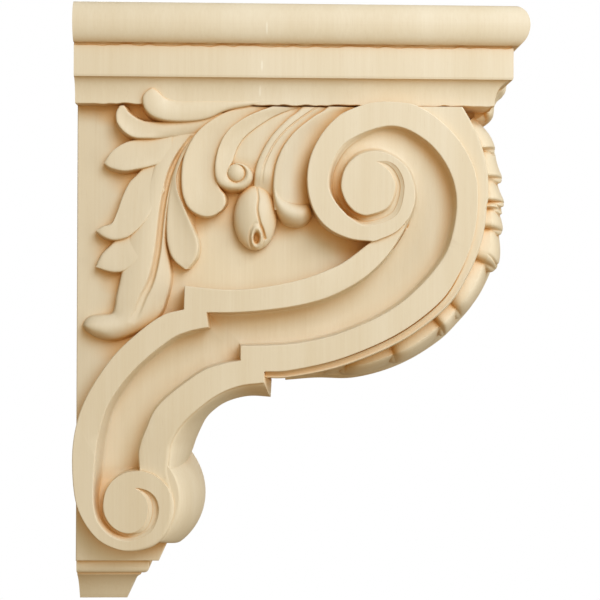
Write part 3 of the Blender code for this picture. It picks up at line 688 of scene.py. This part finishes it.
# %% The front leaf
def front_leaf(rows=480, columns=141):
    """Points of the leaf over (along, v), with v across from -1 to 1.

    A lobe's place p is the share of the way between two tips, whose line bows up by bow w^2 at w either side
    of its middle. It stands base + lift p^rise (1 - p^drop)^0.5, fading to the midrib and the edge, with a
    scoop beside the rib, and the whole falls away by fall (1 - (1 - v^2)^0.6).
    """
    ridge = curve(RIDGE, count=rows)
    off = -outward(ridge)[:, None]
    along, v = np.linspace(0, 1, rows)[:, None], spread(columns)
    aside = np.abs(v)
    w = aside - LOBE_MIDDLE
    bowed = along + LOBE_BOW * (w / np.where(w > 0, LOBE_OUT, LOBE_IN)) ** 2
    tips, *sizes = np.array([(-0.04, 0, 0, 0, 0), *LEAF_LOBES]).T
    place = np.interp(bowed, tips, np.arange(len(tips)))
    which = np.clip(np.ceil(place - TINY).astype(int), 1, len(tips) - 1)
    base, lift, rise, drop = (size[which] for size in sizes)
    place = np.clip(place - (which - 1), 0, 1)
    swell = place**rise * np.sqrt(np.clip(1 - place**drop, 0, 1))
    taper = between(1, LEAF_END, ramp(along, LEAF_FULL, 1) ** 2)
    half = (LEAF_HALF - LEAF_NOTCH * (1 - swell[:, :1])) * taper
    fading = (1 - 0.8 * aside**9) * ramp(aside, 0.05, 0.35) ** 0.8
    scoop = np.interp(along, *SCOOP_DEPTH) * bell(aside - SCOOP, SCOOP_WIDTH)
    height = (base + lift * swell) * fading - scoop * np.sin(np.pi * place) ** 2
    height += LEAF_RIB * bell(v, RIB_WIDTH)
    for cut, depth in LEAF_SLITS:
        height -= depth * bell(bowed - cut, SLIT_WIDTH) * (aside > 0.1)
    fall = np.interp(along, (0, 1), LEAF_FALL)
    height -= fall * (1 - (1 - v**2) ** 0.6)
    top = ridge[:, None] + off * height[..., None]
    root = ridge[:, None] - off * (fall + LEAF_ROOT)[..., None] * np.ones((2, 1))
    return loft(side_view(np.hstack([top, root]), np.hstack([v * half, half, -half])))


carve("front_leaf", front_leaf())

# %% [markdown]
# The leaf starts as a tongue that lies over the front of the cap, and under the cap's edge it curls. The
# tongue could be cut from the cap's own mesh. As a profile of its own it can be fluted and bowed.

# %% The tongue over the front of the cap
TONGUE = [
    (245, 112), (250, 114.5), (253.4, 118.5), (254.2, 124), (257, 128.5), (260.6, 132), (261.8, 138),
    (262, 146), (264.6, 151.5), (266.2, 157), (265.5, 163), (261, 168),
]
TONGUE_HALF, TONGUE_FLUTES, FLUTE_DEPTH = 28.0, 5, 1.3
TONGUE_FALL, TONGUE_BOW = 9.0, 12.0  # how far its sides fall back, and how fast its top bows down
TONGUE_REAR = 238.0
CURLED = (248.6, 118.0, 4.0, 4.4, 31.0)  # the tongue's curled end: centre (x, z), radii, half its length
CURLED_BACK = 3.0  # how far its ends bend back
ROOT_BLOCK, ROOT_HALF = [(222, 104), (238, 106), (241, 119), (222, 119)], 27.0  # what both are rooted in


def tongue():
    """The tongue's profile across v from -1 to 1: it falls back by fall (1 - (1 - v^2)^0.5), with flutes
    between ribs at |cos(flutes pi v / 2)|, and narrows to its top."""
    line, v = curve(TONGUE, step=0.8), spread(81)
    along = np.linspace(0, 1, len(line))[:, None]
    half = TONGUE_HALF * np.sqrt(1 - 0.75 * along**3)
    flutes = FLUTE_DEPTH * (1 - np.abs(np.cos(TONGUE_FLUTES * np.pi * v / 2))) * (1 - v**8)
    x = line[:, :1] - TONGUE_FALL * (1 - np.sqrt(1 - v**2)) - flutes
    z = line[:, 1:] - TONGUE_BOW * np.maximum(along - 0.6, 0) * v**2
    top = np.stack([x, v * half, z], axis=-1)
    rear = [np.stack([0 * half + TONGUE_REAR, side * half, line[:, 1:]], axis=-1) for side in (1, -1)]
    return loft(np.hstack([top, *rear]))


def curled():
    """A rounded bar along Y: at a share u of its half length its radii shrink by (1 - u^6)^0.5."""
    x, z, across, up, half = CURLED
    u = np.sin(np.linspace(-np.pi / 2 + 0.02, np.pi / 2 - 0.02, 61))[:, None]
    shrink = np.sqrt(1 - u**6)
    x, z = x - CURLED_BACK * u**2 + across * shrink * np.cos(TURN), z + up * shrink * np.sin(TURN)
    return loft(side_view(np.stack([x, z], axis=-1), u * half))


carve("tongue", join(tongue(), curled(), slab(np.array(ROOT_BLOCK, float), ROOT_HALF)))

# %% [markdown]
# ## The leaves on the sides
# A spray of acanthus spreads over each side panel. Every lobe is drawn by its two edges, as a carver sets it
# out, with the height over the panel at either edge and in the middle. Between them runs a soft scoop, and
# each edge has a small arris over a steep wall. Sculpting would blur those edges, and here they stay crisp.

# %% The lobes' stations
# From root to tip: (x, z) on the left edge, (x, z) on the right edge, and the height over the panel at the
# left, in the middle and at the right.
LOBES = {
    "body": [
        (64, 112, 74, 103, 5.5, 6, 5.5), (54, 98, 68, 93, 6, 6.6, 5.6), (47, 84, 62, 83, 6.4, 7),
        (42, 70, 57.6, 71, 6.4, 7.2, 5.4), (36, 55, 54.6, 56, 6, 7.4, 5.2), (31, 39, 52.8, 38.5, 5.8, 7.4, 5),
        (28.5, 26, 55, 25, 5.8, 7.4, 4.4), (26, 13, 55.8, 14.5, 6.2, 7.6, 4), (24.1, 4, 53.4, 3, 6.4),
        (23.4, -1.5, 49, -7, 6.2), (21.5, -5.6, 38, -15.6, 5.4, 8.4, 4.4), (15.1, -6.7, 24, -21, 5, 9.4, 4.8),
        (9.2, -7.7, 13.2, -19.6, 4.6, 9, 4.6), (5.6, -9.8, 7.8, -17, 3.8, 7.2, 3.8),
        (4.2, -12, 4.9, -14.8, 2.6, 3.6, 2.6),
    ],
    "low_lobe": [
        (44, 60, 48, 46, 5.2, 6, 5.6), (38, 53, 45.5, 38, 5, 6.2, 6.6), (31.5, 46.5, 41, 30.5, 4.8, 6.4, 7.2),
        (25.5, 40.5, 35.6, 24.6, 5, 6.6, 7.4), (21.1, 35.1, 29.9, 19.9, 5.4, 6.6, 7),
        (15.9, 29.8, 23.5, 18.5, 5.6, 6.4, 6.6), (13, 24.5, 17.4, 19.5, 5.6, 6, 6),
        (12, 21.8, 12.6, 21.3, 5.4, 5.4, 5.4),
    ],
    "long_lobe": [
        (52, 92, 52, 66, 5.4, 6.4, 6), (42, 83, 47, 58, 5.6, 6.8, 7.2), (35.8, 76.1, 39.7, 46.9, 6, 7, 8),
        (31.4, 71.4, 32.1, 40.1, 6.2), (27.7, 63.8, 27, 38, 6.4, 7, 7.8),
        (24.5, 54.4, 22.6, 37.4, 6.6, 7, 7.4), (21.4, 47.6, 18.6, 38.2, 6.8, 7, 7),
        (15.6, 45.2, 14.6, 40.2, 6.4, 6.6, 6.4), (12.3, 43.6, 11.9, 42.4, 5.6, 5.6, 5.6),
    ],
    "wing_lobe": [
        (56.5, 102, 56, 88, 5.6, 6.8, 5.6), (50, 98.8, 51, 83, 5.8, 7, 6.6),
        (43, 97.2, 43, 80.5, 6.2, 6.8, 7.6), (35.7, 96.6, 35.7, 78.9, 6.6, 6.8, 8),
        (28.4, 94.5, 28.5, 77.8, 6.8, 6.8, 7.8), (21.6, 90, 22, 79, 6.8, 6.6, 7),
        (18, 85.4, 18.2, 80.6, 6.4, 6.4, 6.4), (16.6, 82.8, 16.7, 82.2, 5.8, 5.8, 5.8),
    ],
    "crook_lobe": [
        (86, 116, 84, 103, 6, 7.2, 3.4), (70, 113, 69, 98, 6.6, 8, 4.2), (54, 107.6, 53, 97.2, 7.2, 8.4, 6.4),
        (43, 107, 43, 97, 7.6, 8.2, 8.6), (37.6, 108.2, 34.2, 97.4, 7.8, 8, 9),
        (33.6, 110.4, 28.4, 100.6, 8, 8, 9.2), (31, 112.6, 24.3, 105.9, 8, 8, 9),
        (29.6, 114.8, 23.6, 111.7, 8, 8.2, 8.6), (28.4, 116.3, 25.4, 115.8, 7.8, 8, 8),
    ],
    "cap_lobe": [
        (112, 119.6, 101, 116.2, 9, 9.2, 8.2), (98, 119.7, 88, 113.4, 9, 9.9, 8.8),
        (84, 119.7, 76.8, 108.6, 9, 10.4, 9.4), (72, 119.7, 65.7, 106.8, 9, 10.8, 10.2),
        (62, 119.6, 54, 107, 9, 11.2, 10.8), (56.4, 119.8, 46.4, 108.8, 9.3, 11.6, 11.2),
        (53, 120.4, 41.8, 112.2, 10.2, 11.8, 11.4), (51, 121.8, 39.6, 116.6, 10.8, 12, 11.6),
        (49.2, 123.6, 39.6, 121.4, 11), (47.2, 125.4, 42.2, 124.7, 11, 11.6, 11.4),
        (45.6, 126.2, 44.2, 126, 10.8, 11, 10.8),
    ],
    "pod_lobe": [
        (69.5, 101, 70.8, 99.8, 5.6, 5.8, 5.8), (61.6, 89, 63.8, 88, 5.8, 6.6, 7),
        (56.9, 77, 59.4, 76.4, 6.2, 7, 7.8), (54.9, 67, 59.7, 67.2, 6.4, 7, 8.4),
        (53.7, 57, 63.2, 58, 6.6, 7, 8.6), (53.2, 46, 68.4, 45.8, 6.8), (53.6, 37.5, 71.8, 36, 7, 7.2, 8.4),
        (55.6, 29.5, 71.2, 28.4, 7.2, 7.2, 8), (59, 24.4, 68.4, 23.8, 7.2, 7.2, 7.6),
        (63.8, 20.7, 65.8, 20.7, 6.8, 6.8, 6.8),
    ],
    "pod_side": [
        (70.2, 100.4, 72.6, 99.6, 5.4, 5.2, 5), (63, 88.4, 65.8, 89, 6.4, 5.6, 4.8),
        (58.8, 76.4, 63.6, 76.4, 7, 5.8, 4.6), (59.1, 67.2, 64.2, 66.6, 7.4, 5.8, 4.2),
        (62.4, 58.4, 67.8, 58.4, 7.4, 5.2, 3.2), (65.8, 51.4, 70.4, 53, 6.4, 3, 0.4),
        (68.4, 46.6, 71, 48.6, 4, 0, -2),
    ],
    "broad_lobe": [
        (97, 116.4, 113.6, 115.9, 7.2, 7.4, 6.4), (86.5, 112.4, 101.6, 110.8, 8.2, 7.6, 6.6),
        (79.3, 108.1, 93.5, 103.8, 8.8, 7.6, 6.8), (71.7, 101.6, 87.2, 96.2, 9.2, 7.4),
        (66.6, 94, 83.6, 88, 9.4), (63.1, 85, 82.8, 80.1, 9.6, 7.4, 7), (62, 74.9, 83.6, 73.5, 9.6, 7.6, 7.4),
        (62.7, 64.7, 84.6, 68.2, 9.6, 8, 8.2), (66.1, 56.5, 87.4, 64, 9.6, 8.8, 9),
        (71.9, 52.3, 88, 59.5, 9.4, 9.2, 9.2), (77.6, 51.2, 86.2, 55.8, 9.2),
        (82, 52.6, 84.8, 54.6, 8.8, 8.8, 8.8),
    ],
    "inner_stem": [
        (123.6, 116.5, 137.6, 116.2, 6, 6.4, 5.2), (119.4, 112.7, 131.1, 112.6), (111.4, 109, 123.9, 107.4),
        (103.3, 103.6, 118.2, 101.1), (97, 98.3, 113.8, 94.8), (93.4, 92.9, 111, 89.7),
        (91.4, 87.3, 108.6, 84.4), (90.9, 81.1, 107, 79.9, 5.2, 5.4, 4.6), (95.4, 75, 106.4, 75),
        (97.4, 69, 106, 69, 3, 3, 2.6),
    ],
    "bud_stem": [
        (132.2, 116.3, 151.8, 115.9, 7.4, 7.8, 5.8), (129, 112.8, 142.8, 111.4, 8),
        (124.4, 109.3, 136.8, 107.1, 8.2, 8), (116.6, 101.4, 129.3, 100.5, 8.4, 8.2),
        (111.8, 94.5, 124.1, 93.9, 8.6), (108.4, 88, 120.6, 87.5), (106, 82, 119, 81.9, 8.4),
        (104.8, 76, 118, 74.8, 8.2), (104.2, 70, 117.4, 66.5, 6, 5.6, 5), (104.6, 62, 113, 60.7, 3.4, 3.2, 3),
    ],
    "curl": [
        (114.6, 116.2, 131, 115.8, 8.6, 8, 6.6), (107, 113.4, 122.5, 113.2, 9.2, 8.2, 6.8),
        (100, 110.1, 115.6, 110.2, 9.6, 8.2, 7), (94.5, 106.5, 109.5, 106.4, 9.8, 8.2, 7.2),
        (90.3, 103.1, 104.9, 103.3, 10, 8.2, 7.4), (87.2, 99.2, 100.6, 99.8, 10, 8.2, 7.6),
        (85.4, 96, 98, 97.2, 10, 8.2, 7.8), (83.8, 92, 94.7, 92, 10, 8.2, 8),
        (82.8, 88.5, 93.2, 88, 10, 8.4, 8.2), (82, 84.5, 92, 84, 10, 8.8, 8.6),
        (81.6, 81, 90.6, 81, 10, 9.2, 8.8), (81.9, 74.8, 89.4, 76.2, 9.8, 9.8, 9),
        (84.1, 69.9, 90.8, 73.2, 9.4, 10.4, 9.2), (88.5, 67.2, 92.9, 71.9, 9, 10.8), (92.9, 66.8, 94.5, 71.8),
        (97.3, 67.4, 96.6, 72.6), (101.2, 69.9, 98.3, 74.2), (103.5, 73.5, 99.1, 76.4),
        (103.4, 77.4, 98.7, 78.9, 9, 10.6), (100.6, 81, 97.2, 80.9, 9, 10.2),
        (96.4, 82.8, 95.3, 81.7, 8.8, 9.4, 9), (93.4, 83, 93.8, 82, 8.4, 8.6, 8.4),
    ],
    "ring_lobe": [
        (147.6, 116.4, 168.5, 116.2, 8.4, 8.2, 5.6), (144, 113.3, 159.5, 112.9, 9.2, 8, 5.4),
        (139.1, 110.4, 153.9, 107.3, 9.6, 8, 5.2), (129.3, 102.5, 148, 100.7, 9.8, 7.8, 5),
        (123.5, 95.6, 143.9, 93.4, 9.8, 7.8, 4.8), (119.8, 89.2, 141.1, 86.6, 9.8, 7.8, 4.6),
        (117.2, 81.9, 139.1, 79), (116, 74.1, 137.5, 71.6), (115.8, 66.6, 137.4, 64.7, 9.8, 8, 5),
        (116.6, 55.5, 137.5, 55.5, 9.4, 8, 5.6),
    ],
    "thumb": [
        (118.2, 72, 115.9, 70, 8.4, 9.4, 9.2), (118.2, 66.6, 116, 62.5, 8.6, 10.2, 9),
        (120.4, 63.2, 117.4, 55.4, 8.8, 11.4, 8.6), (124, 60.8, 120.8, 49.8, 8.8, 12.2, 8.2),
        (128.4, 59.3, 126.2, 47, 8.8, 12.6, 7.8), (132.6, 59, 132.2, 46.9, 8.6, 12.4, 7.6),
        (135.9, 59, 136.2, 49.2, 8.2, 11.2, 7.4), (137.9, 57, 138, 51.2, 7.2, 9.2, 7),
        (138.5, 54.8, 138.5, 53.4, 6.4, 6.8, 6.4),
    ],
}
# Fine grooves in lobes: their line, depth and half width
GROOVES = {
    "body": ([
        (67.5, 97.5), (62, 90), (58.2, 83.6), (55.3, 76.8), (53.2, 69), (51.8, 62), (50.5, 53.5),
        (49.4, 43.5), (48.4, 33.5), (47, 25), (45.1, 16.5), (42.8, 10), (39.9, 4.2), (36.1, -5.2), (33, -11),
    ], 2.6, 1.4),
    "bud_stem": ([
        (143, 117.3), (131.3, 109.3), (123, 102.4), (117.1, 95.5), (112.8, 87.7), (110, 79.9), (109, 70),
    ], 0.7, 0.5),
}
print("lobes:", len(LOBES), "with", sum(len(rows) for rows in LOBES.values()), "stations")

# %% Lobes between two edges
LOBE_WALL, LOBE_SUNK = 1.8, 2.5  # how wide its wall slopes, and how deep that goes into the panel
LOBE_RIM = np.array([0.0, 0.12, 0.45, 0.95, 1.7])  # distances from an edge
LOBE_ROUND = np.array([1.1, 0.64, 0.27, 0.08, 0.0])  # how far it is rounded down at each


def to_line(flat, path):
    """The distance from each point to the nearest point of a line, and how far along the line that is."""
    near = curve(path, step=0.25)
    gap = ((flat[..., None, :] - near) ** 2).sum(axis=-1)
    return np.sqrt(gap.min(axis=-1)), gap.argmin(axis=-1) / (len(near) - 1)


def lobe(rows, groove=None, least=0.02):
    """A closed shell between two edges, on the near side.

    Across it its height is the parabola through its heights at the left, in the middle and at the right. Near
    an edge it is rounded down, and then drops steeply to the panel. A groove takes off
    depth exp(-(distance / half width)^4), less and less over the last part of its line.
    """
    rows = stations(rows, step=1.0)
    left, right, heights = rows[:, :2], rows[:, 2:4], rows[:, 4:]
    over = unit(right - left)[:, None]
    width = np.maximum(np.linalg.norm(right - left, axis=1, keepdims=True), least)
    rim = LOBE_RIM * np.minimum(1, 0.4 * width / LOBE_RIM[-1])
    v = np.linspace(0, 1, 90 if groove else 17)[1:-1]
    way = np.hstack([rim, between(rim[:, -1:], width - rim[:, -1:], v), width - rim[:, ::-1]])
    part = way / width
    one, two, three = heights.T[..., None]
    height = one + (4 * two - 3 * one - three) * part + (2 * one + 2 * three - 4 * two) * part**2
    height -= np.concatenate([LOBE_ROUND, 0 * v, LOBE_ROUND[::-1]])
    if groove:
        path, depth, half = groove
        away, along = to_line(left[:, None] + over * way[..., None], path)
        fade = np.clip(along / 0.12, 0.35, 1) * ramp(along, 1, 0.75) ** 0.7
        height -= depth * fade * np.exp(-((away / half / (1 + 0.6 * along**3)) ** 4))
    below = 0 * width - LOBE_SUNK
    height = np.hstack([below, height, below])
    way = np.hstack([0 * width - LOBE_WALL, way, width + LOBE_WALL])
    return loft(side_view(left[:, None] + over * way[..., None], -(PANEL_HALF + height)))


for name, rows in LOBES.items():
    carve(name, both_sides(lobe(rows, GROOVES.get(name))))

# %% [markdown]
# In the spray hangs a bud with a slit, and a ball lies in the curl. A sphere pressed flat would do for the
# ball. The bud's slit and hole follow drawn lines, so both are half eggs worked out as heights over the
# panel.

# %% The bud and the ball in the curl
BUD = (105.2, 51.2, 12.7, 19.2, 3.6, 7.4)  # centre, half width, half height, base and bulge over the panel
BALL = (94.1, 76.9, 5.7, 5.7, 7.4, 3.9)
SLIT = [(106, 69), (106.6, 66.5), (107.1, 62.3), (106.6, 55.4), (107.9, 48.6), (109.8, 43.7), (111.1, 39)]
HOLE = (106.1, 39.1, 1.7, 3.3)  # centre, half width and half height


def egg(place, rings, sides):
    """Half an egg: at a share r of its radii it stands base + bulge (1 - r^2)^0.5 over the panel."""
    x, z, half_x, half_z, base, bulge = place
    r = np.sin(np.linspace(np.pi / 2, 0.01, rings))[:, None]
    t = np.linspace(0, 2 * np.pi, sides + 1)[:-1]
    flat = np.stack([x + half_x * r * np.cos(t), z + half_z * r * np.sin(t)], axis=-1)
    return flat, base + bulge * np.sqrt(1 - r**2)


def mound(flat, height, sunk):
    """The closed shell of an egg's rings, and one more sunk into the panel."""
    flat, height = np.vstack([flat[:1], flat]), np.vstack([height[:1] - sunk, height])
    return both_sides(loft(side_view(flat, -(PANEL_HALF + height))))


def bud():
    """The egg's rings with a slit and an almond hole in a raised rim.

    At a distance d from the slit's line and a share a along it, the slit is (0.8 + 0.7 a)
    exp(-(d / (0.45 + 0.3 a))^2) deep. At e times the hole's radii, the rim is 0.9 exp(-((e - 1.65) / 0.4)^2)
    high, the dip round it 0.5 exp(-((e - 2.5) / 0.3)^2) deep, and the hole 4.5 / (1 + exp(12 (e - 0.9))).
    """
    flat, height = egg(BUD, rings=60, sides=200)
    away, along = to_line(flat, SLIT)
    height = height - (0.8 + 0.7 * along) * bell(away, 0.45 + 0.3 * along)
    away = np.hypot((flat[..., 0] - HOLE[0]) / HOLE[2], (flat[..., 1] - HOLE[1]) / HOLE[3])
    height += 0.9 * bell(away - 1.65, 0.4) - 0.5 * bell(away - 2.5, 0.3)
    return flat, height - 4.5 / (1 + np.exp((away - 0.9) * 12))


carve("bud", mound(*bud(), sunk=2))
carve("ball", mound(*egg(BALL, rings=20, sides=60), sunk=6))

# %% [markdown]
# ## The timber
# The corbel is glued up from upright boards of a pale, close-grained timber and left unfinished. Flat colour
# would look like plastic, so the colour is worked out in the shader from the place in the timber: broad bands
# where the boards differ, faint streaks and short pores along Z, and pale strokes of glue on one joint. Over
# that goes painted shade: a warmer, deeper tone in the hollows and on faces turned down and left, standing in
# for the shade there and for the light that bounces from wood to wood.
# Sums on sockets are written as sums in Python.

# %% Sums on shader sockets
wood = bpy.data.materials.new("pale_wood")
wood.use_nodes = True
timber = wood.node_tree


class Tone:
    """A socket of the timber's nodes. Each sum on it adds a Math node."""

    def __init__(self, socket):
        self.socket = socket

    def sum(self, operation, *others):
        return node("ShaderNodeMath", dict(enumerate([self, *others])), {"operation": operation})

    def __add__(self, other):
        return self.sum("ADD", other)

    def __sub__(self, other):
        return self.sum("SUBTRACT", other)

    def __rsub__(self, other):
        return self.sum("MULTIPLY_ADD", -1.0, other)

    def __mul__(self, other):
        return self.sum("MULTIPLY", other)

    __radd__, __rmul__ = __add__, __mul__


def node(kind, inputs, settings=None, output=0):
    """Adds a node: its settings first, then a value or a link for each named socket."""
    made = timber.nodes.new(kind)
    for name, value in (settings or {}).items():
        setattr(made, name, value)
    for name, value in inputs.items():
        if isinstance(value, Tone):
            timber.links.new(value.socket, made.inputs[name])
        else:
            made.inputs[name].default_value = value
    return Tone(made.outputs[output])


def noise(place, scale, detail=2.0, roughness=0.5):
    """Noise about 0, from -0.5 to 0.5, over a place stretched by a scale per axis."""
    stretched = node("ShaderNodeVectorMath", {0: place, 1: scale}, {"operation": "MULTIPLY"})
    inputs = {"Vector": stretched, "Scale": 1.0, "Detail": detail, "Roughness": roughness}
    return node("ShaderNodeTexNoise", inputs) - 0.5


def smooth(value, low, high):
    """0 below low, 1 above high, and the smooth step between."""
    return node("ShaderNodeMapRange", {0: value, 1: low, 2: high}, {"interpolation_type": "SMOOTHSTEP"})


def blend(factor, first, second):
    """The first colour, going over to the second with the factor."""
    return node("ShaderNodeMix", {0: factor, 6: first, 7: second}, {"data_type": "RGBA"}, output=2)


# %% The grain
place = node("ShaderNodeTexCoord", {}, output=3)
place = node("ShaderNodeVectorMath", {0: place, "Scale": 1000.0}, {"operation": "SCALE"})  # millimetres
across = node("ShaderNodeSeparateXYZ", {0: place}, output=0)
height = node("ShaderNodeSeparateXYZ", {0: place}, output=2)
bands = noise(place, (0.035, 0.035, 0.004))
streaks = noise(place, (0.7, 0.7, 0.012), detail=3.0, roughness=0.6)
pores = smooth(noise(place, (2.4, 2.4, 0.1), detail=1.0), 0.14, 0.24)
print("grain: bands 30 mm wide, streaks 1.5 mm, pores 0.4 mm")

# %% Colours
PALE, DEEP, PAINTED_SHADE = (0.765, 0.665, 0.485, 1), (0.71, 0.595, 0.405, 1), (0.66, 0.32, 0.05, 1)
PORE, GLUED = (0.52, 0.36, 0.20, 1), (0.92, 0.86, 0.72, 1)
GLUE = [(111.7, 155, 164), (108.9, 135, 143), (107.8, 121, 129)]  # strokes on a joint: x, from z, to z
LIT_SIDE = (0.55, -0.3, 0.65)  # towards the light: painted shade is deepest where something hides a face on this side
# faces turned this way, down and towards the wall, away from the light, get painted shade
AWAY_FROM_LIGHT = (-0.6, 0.0, -0.8)

base = blend(smooth(bands * 1.2 + streaks * 0.55, -0.35, 0.35), PALE, DEEP)
base = blend(pores * 0.10, base, PORE)
for x, low, high in GLUE:
    beside = (across - x).sum("ABSOLUTE")
    beyond = (height - (low + high) / 2).sum("ABSOLUTE")
    stroke = (1 - smooth(beside, 0.1, 0.9)) * (1 - smooth(beyond, (high - low) / 2 - 3, (high - low) / 2))
    base = blend(stroke * 0.5, base, GLUED)
# Painted shade: ambient occlusion measured towards the light side turns hollows, corners and the panel under
# the lobes a warm dark brown, standing in for their shade.
facing = node("ShaderNodeTexCoord", {}, output=1)
towards = node("ShaderNodeVectorMath", {0: facing, 1: LIT_SIDE}, {"operation": "ADD"})
towards = node("ShaderNodeVectorMath", {0: towards}, {"operation": "NORMALIZE"})
shade_probe = {"Distance": 0.013, "Normal": towards}
light_openness = node("ShaderNodeAmbientOcclusion", shade_probe, {"samples": 12}, output=1)
base = blend((1 - smooth(light_openness, 0.18, 0.9)) * 0.80, base, PAINTED_SHADE)
# Painted shade: faces that turn down and towards the wall, away from the light, get the same warm dark tone.
away = node("ShaderNodeVectorMath", {0: facing, 1: AWAY_FROM_LIGHT}, {"operation": "DOT_PRODUCT"}, output=1)
base = blend(smooth(away, 0.25, 0.9) * 0.40, base, PAINTED_SHADE)

# %% Roughness and bump
shader = timber.nodes["Principled BSDF"]
relief = streaks * 0.5 + noise(place, (0.25, 0.25, 0.12)) - pores * 0.5
bump = node("ShaderNodeBump", {"Height": relief, "Strength": 0.10, "Distance": 0.0006})
changing = {"Base Color": base, "Roughness": 0.52 + streaks * 0.12 + pores * 0.1, "Normal": bump}
for name, tone in changing.items():
    timber.links.new(tone.socket, shader.inputs[name])
shader.inputs["Specular IOR Level"].default_value = 0.35
for piece in pieces.values():
    piece.data.materials.append(wood)
print("timber:", len(timber.nodes), "nodes on", len(pieces), "pieces")

# %% [markdown]
# ## Camera, floor and light
# The picture is taken square to the near side, from 0.7 m. A cool key light stands above to the right, so
# that edges that face up catch it and walls that face down and left lie in soft shade. Large warm lights from
# the right and from the front fill the shade, and one behind lights the far side.

# %% Camera
YAW, TILT = np.radians(1.5), np.radians(0.25)
camera = placed("camera", bpy.data.cameras.new("camera"))
bpy.context.scene.camera = camera
camera.data.sensor_width, camera.data.lens = 36.0, 72.54
forward = np.array((np.sin(YAW), np.cos(YAW), 0))
right = np.array((np.cos(YAW), -np.sin(YAW), 0))
up = np.array((0, 0, 1))
right, up = right * np.cos(TILT) + up * np.sin(TILT), up * np.cos(TILT) - right * np.sin(TILT)
turned = Matrix(np.column_stack([right, up, -forward])).to_4x4()
camera.matrix_world = Matrix.Translation((0.1132, -0.7605, 0.0028)) @ turned
print("camera: focal length", round(camera.data.lens, 2), "mm")

# %% Floor
SPAN, LEVEL = 4.0, -1.3  # it is far below, so its pale plane fills the view from above
floor_mesh = bpy.data.meshes.new("floor")
corners = [(-SPAN, -SPAN, LEVEL), (SPAN, -SPAN, LEVEL), (SPAN, SPAN, LEVEL), (-SPAN, SPAN, LEVEL)]
floor_mesh.from_pydata(corners, [], [(0, 1, 2, 3)])
floor = placed("floor", floor_mesh)
paint = bpy.data.materials.new("floor_paint")
paint.use_nodes = True
coat = paint.node_tree.nodes["Principled BSDF"].inputs
coat["Base Color"].default_value = (0.80, 0.82, 0.86, 1)
coat["Emission Color"].default_value, coat["Emission Strength"].default_value = (0.97, 0.98, 1, 1), 0.45
floor_mesh.materials.append(paint)
floor.visible_diffuse = floor.visible_glossy = False  # it casts no light back up

# %% Surrounding light
AMBIENT, WARM, WHITE = 0.28, (1.0, 0.84, 0.58, 1), (1, 1, 1, 1)
world = bpy.data.worlds.new("studio")
bpy.context.scene.world = world
world.use_nodes = True
sky = world.node_tree
dim, white = sky.nodes["Background"], sky.nodes.new("ShaderNodeBackground")
dim.inputs["Color"].default_value, dim.inputs["Strength"].default_value = WARM, AMBIENT
white.inputs["Color"].default_value = WHITE
seen, mix = sky.nodes.new("ShaderNodeLightPath"), sky.nodes.new("ShaderNodeMixShader")
sky.links.new(seen.outputs["Is Camera Ray"], mix.inputs[0])
sky.links.new(dim.outputs[0], mix.inputs[1])
sky.links.new(white.outputs[0], mix.inputs[2])
sky.links.new(mix.outputs[0], sky.nodes["World Output"].inputs["Surface"])
bpy.context.scene.view_settings.view_transform = "Standard"

# %% Lamps
# name, direction towards it, distance, size, watts, colour
LIGHTS = [
    ("key", (0.38, -0.74, 0.55), 1.2, 0.72, 10.1, (0.88, 1.0, 1.18)),
    ("right", (0.98, -0.2, -0.05), 2.4, 2.0, 25.0, (1.0, 0.98, 0.95)),
    ("back", (-0.3, 1.0, 0.3), 2.4, 2.2, 42.0, (1.0, 0.95, 0.86)),
    ("front", (0.0, -1.0, 0.0), 2.4, 2.2, 15.6, (1.0, 0.82, 0.56)),
]
aim = Vector((0.12, 0, 0))
for name, towards, distance, size, watts, colour in LIGHTS:
    lamp = bpy.data.lights.new(name, "AREA")
    lamp.size, lamp.energy, lamp.color = size, watts, colour
    light = placed(name, lamp)
    light.location = aim + Vector(towards).normalized() * distance
    light.rotation_euler = (aim - light.location).to_track_quat("-Z", "Y").to_euler()
print("lights:", len(LIGHTS), "and a surrounding light of", AMBIENT)
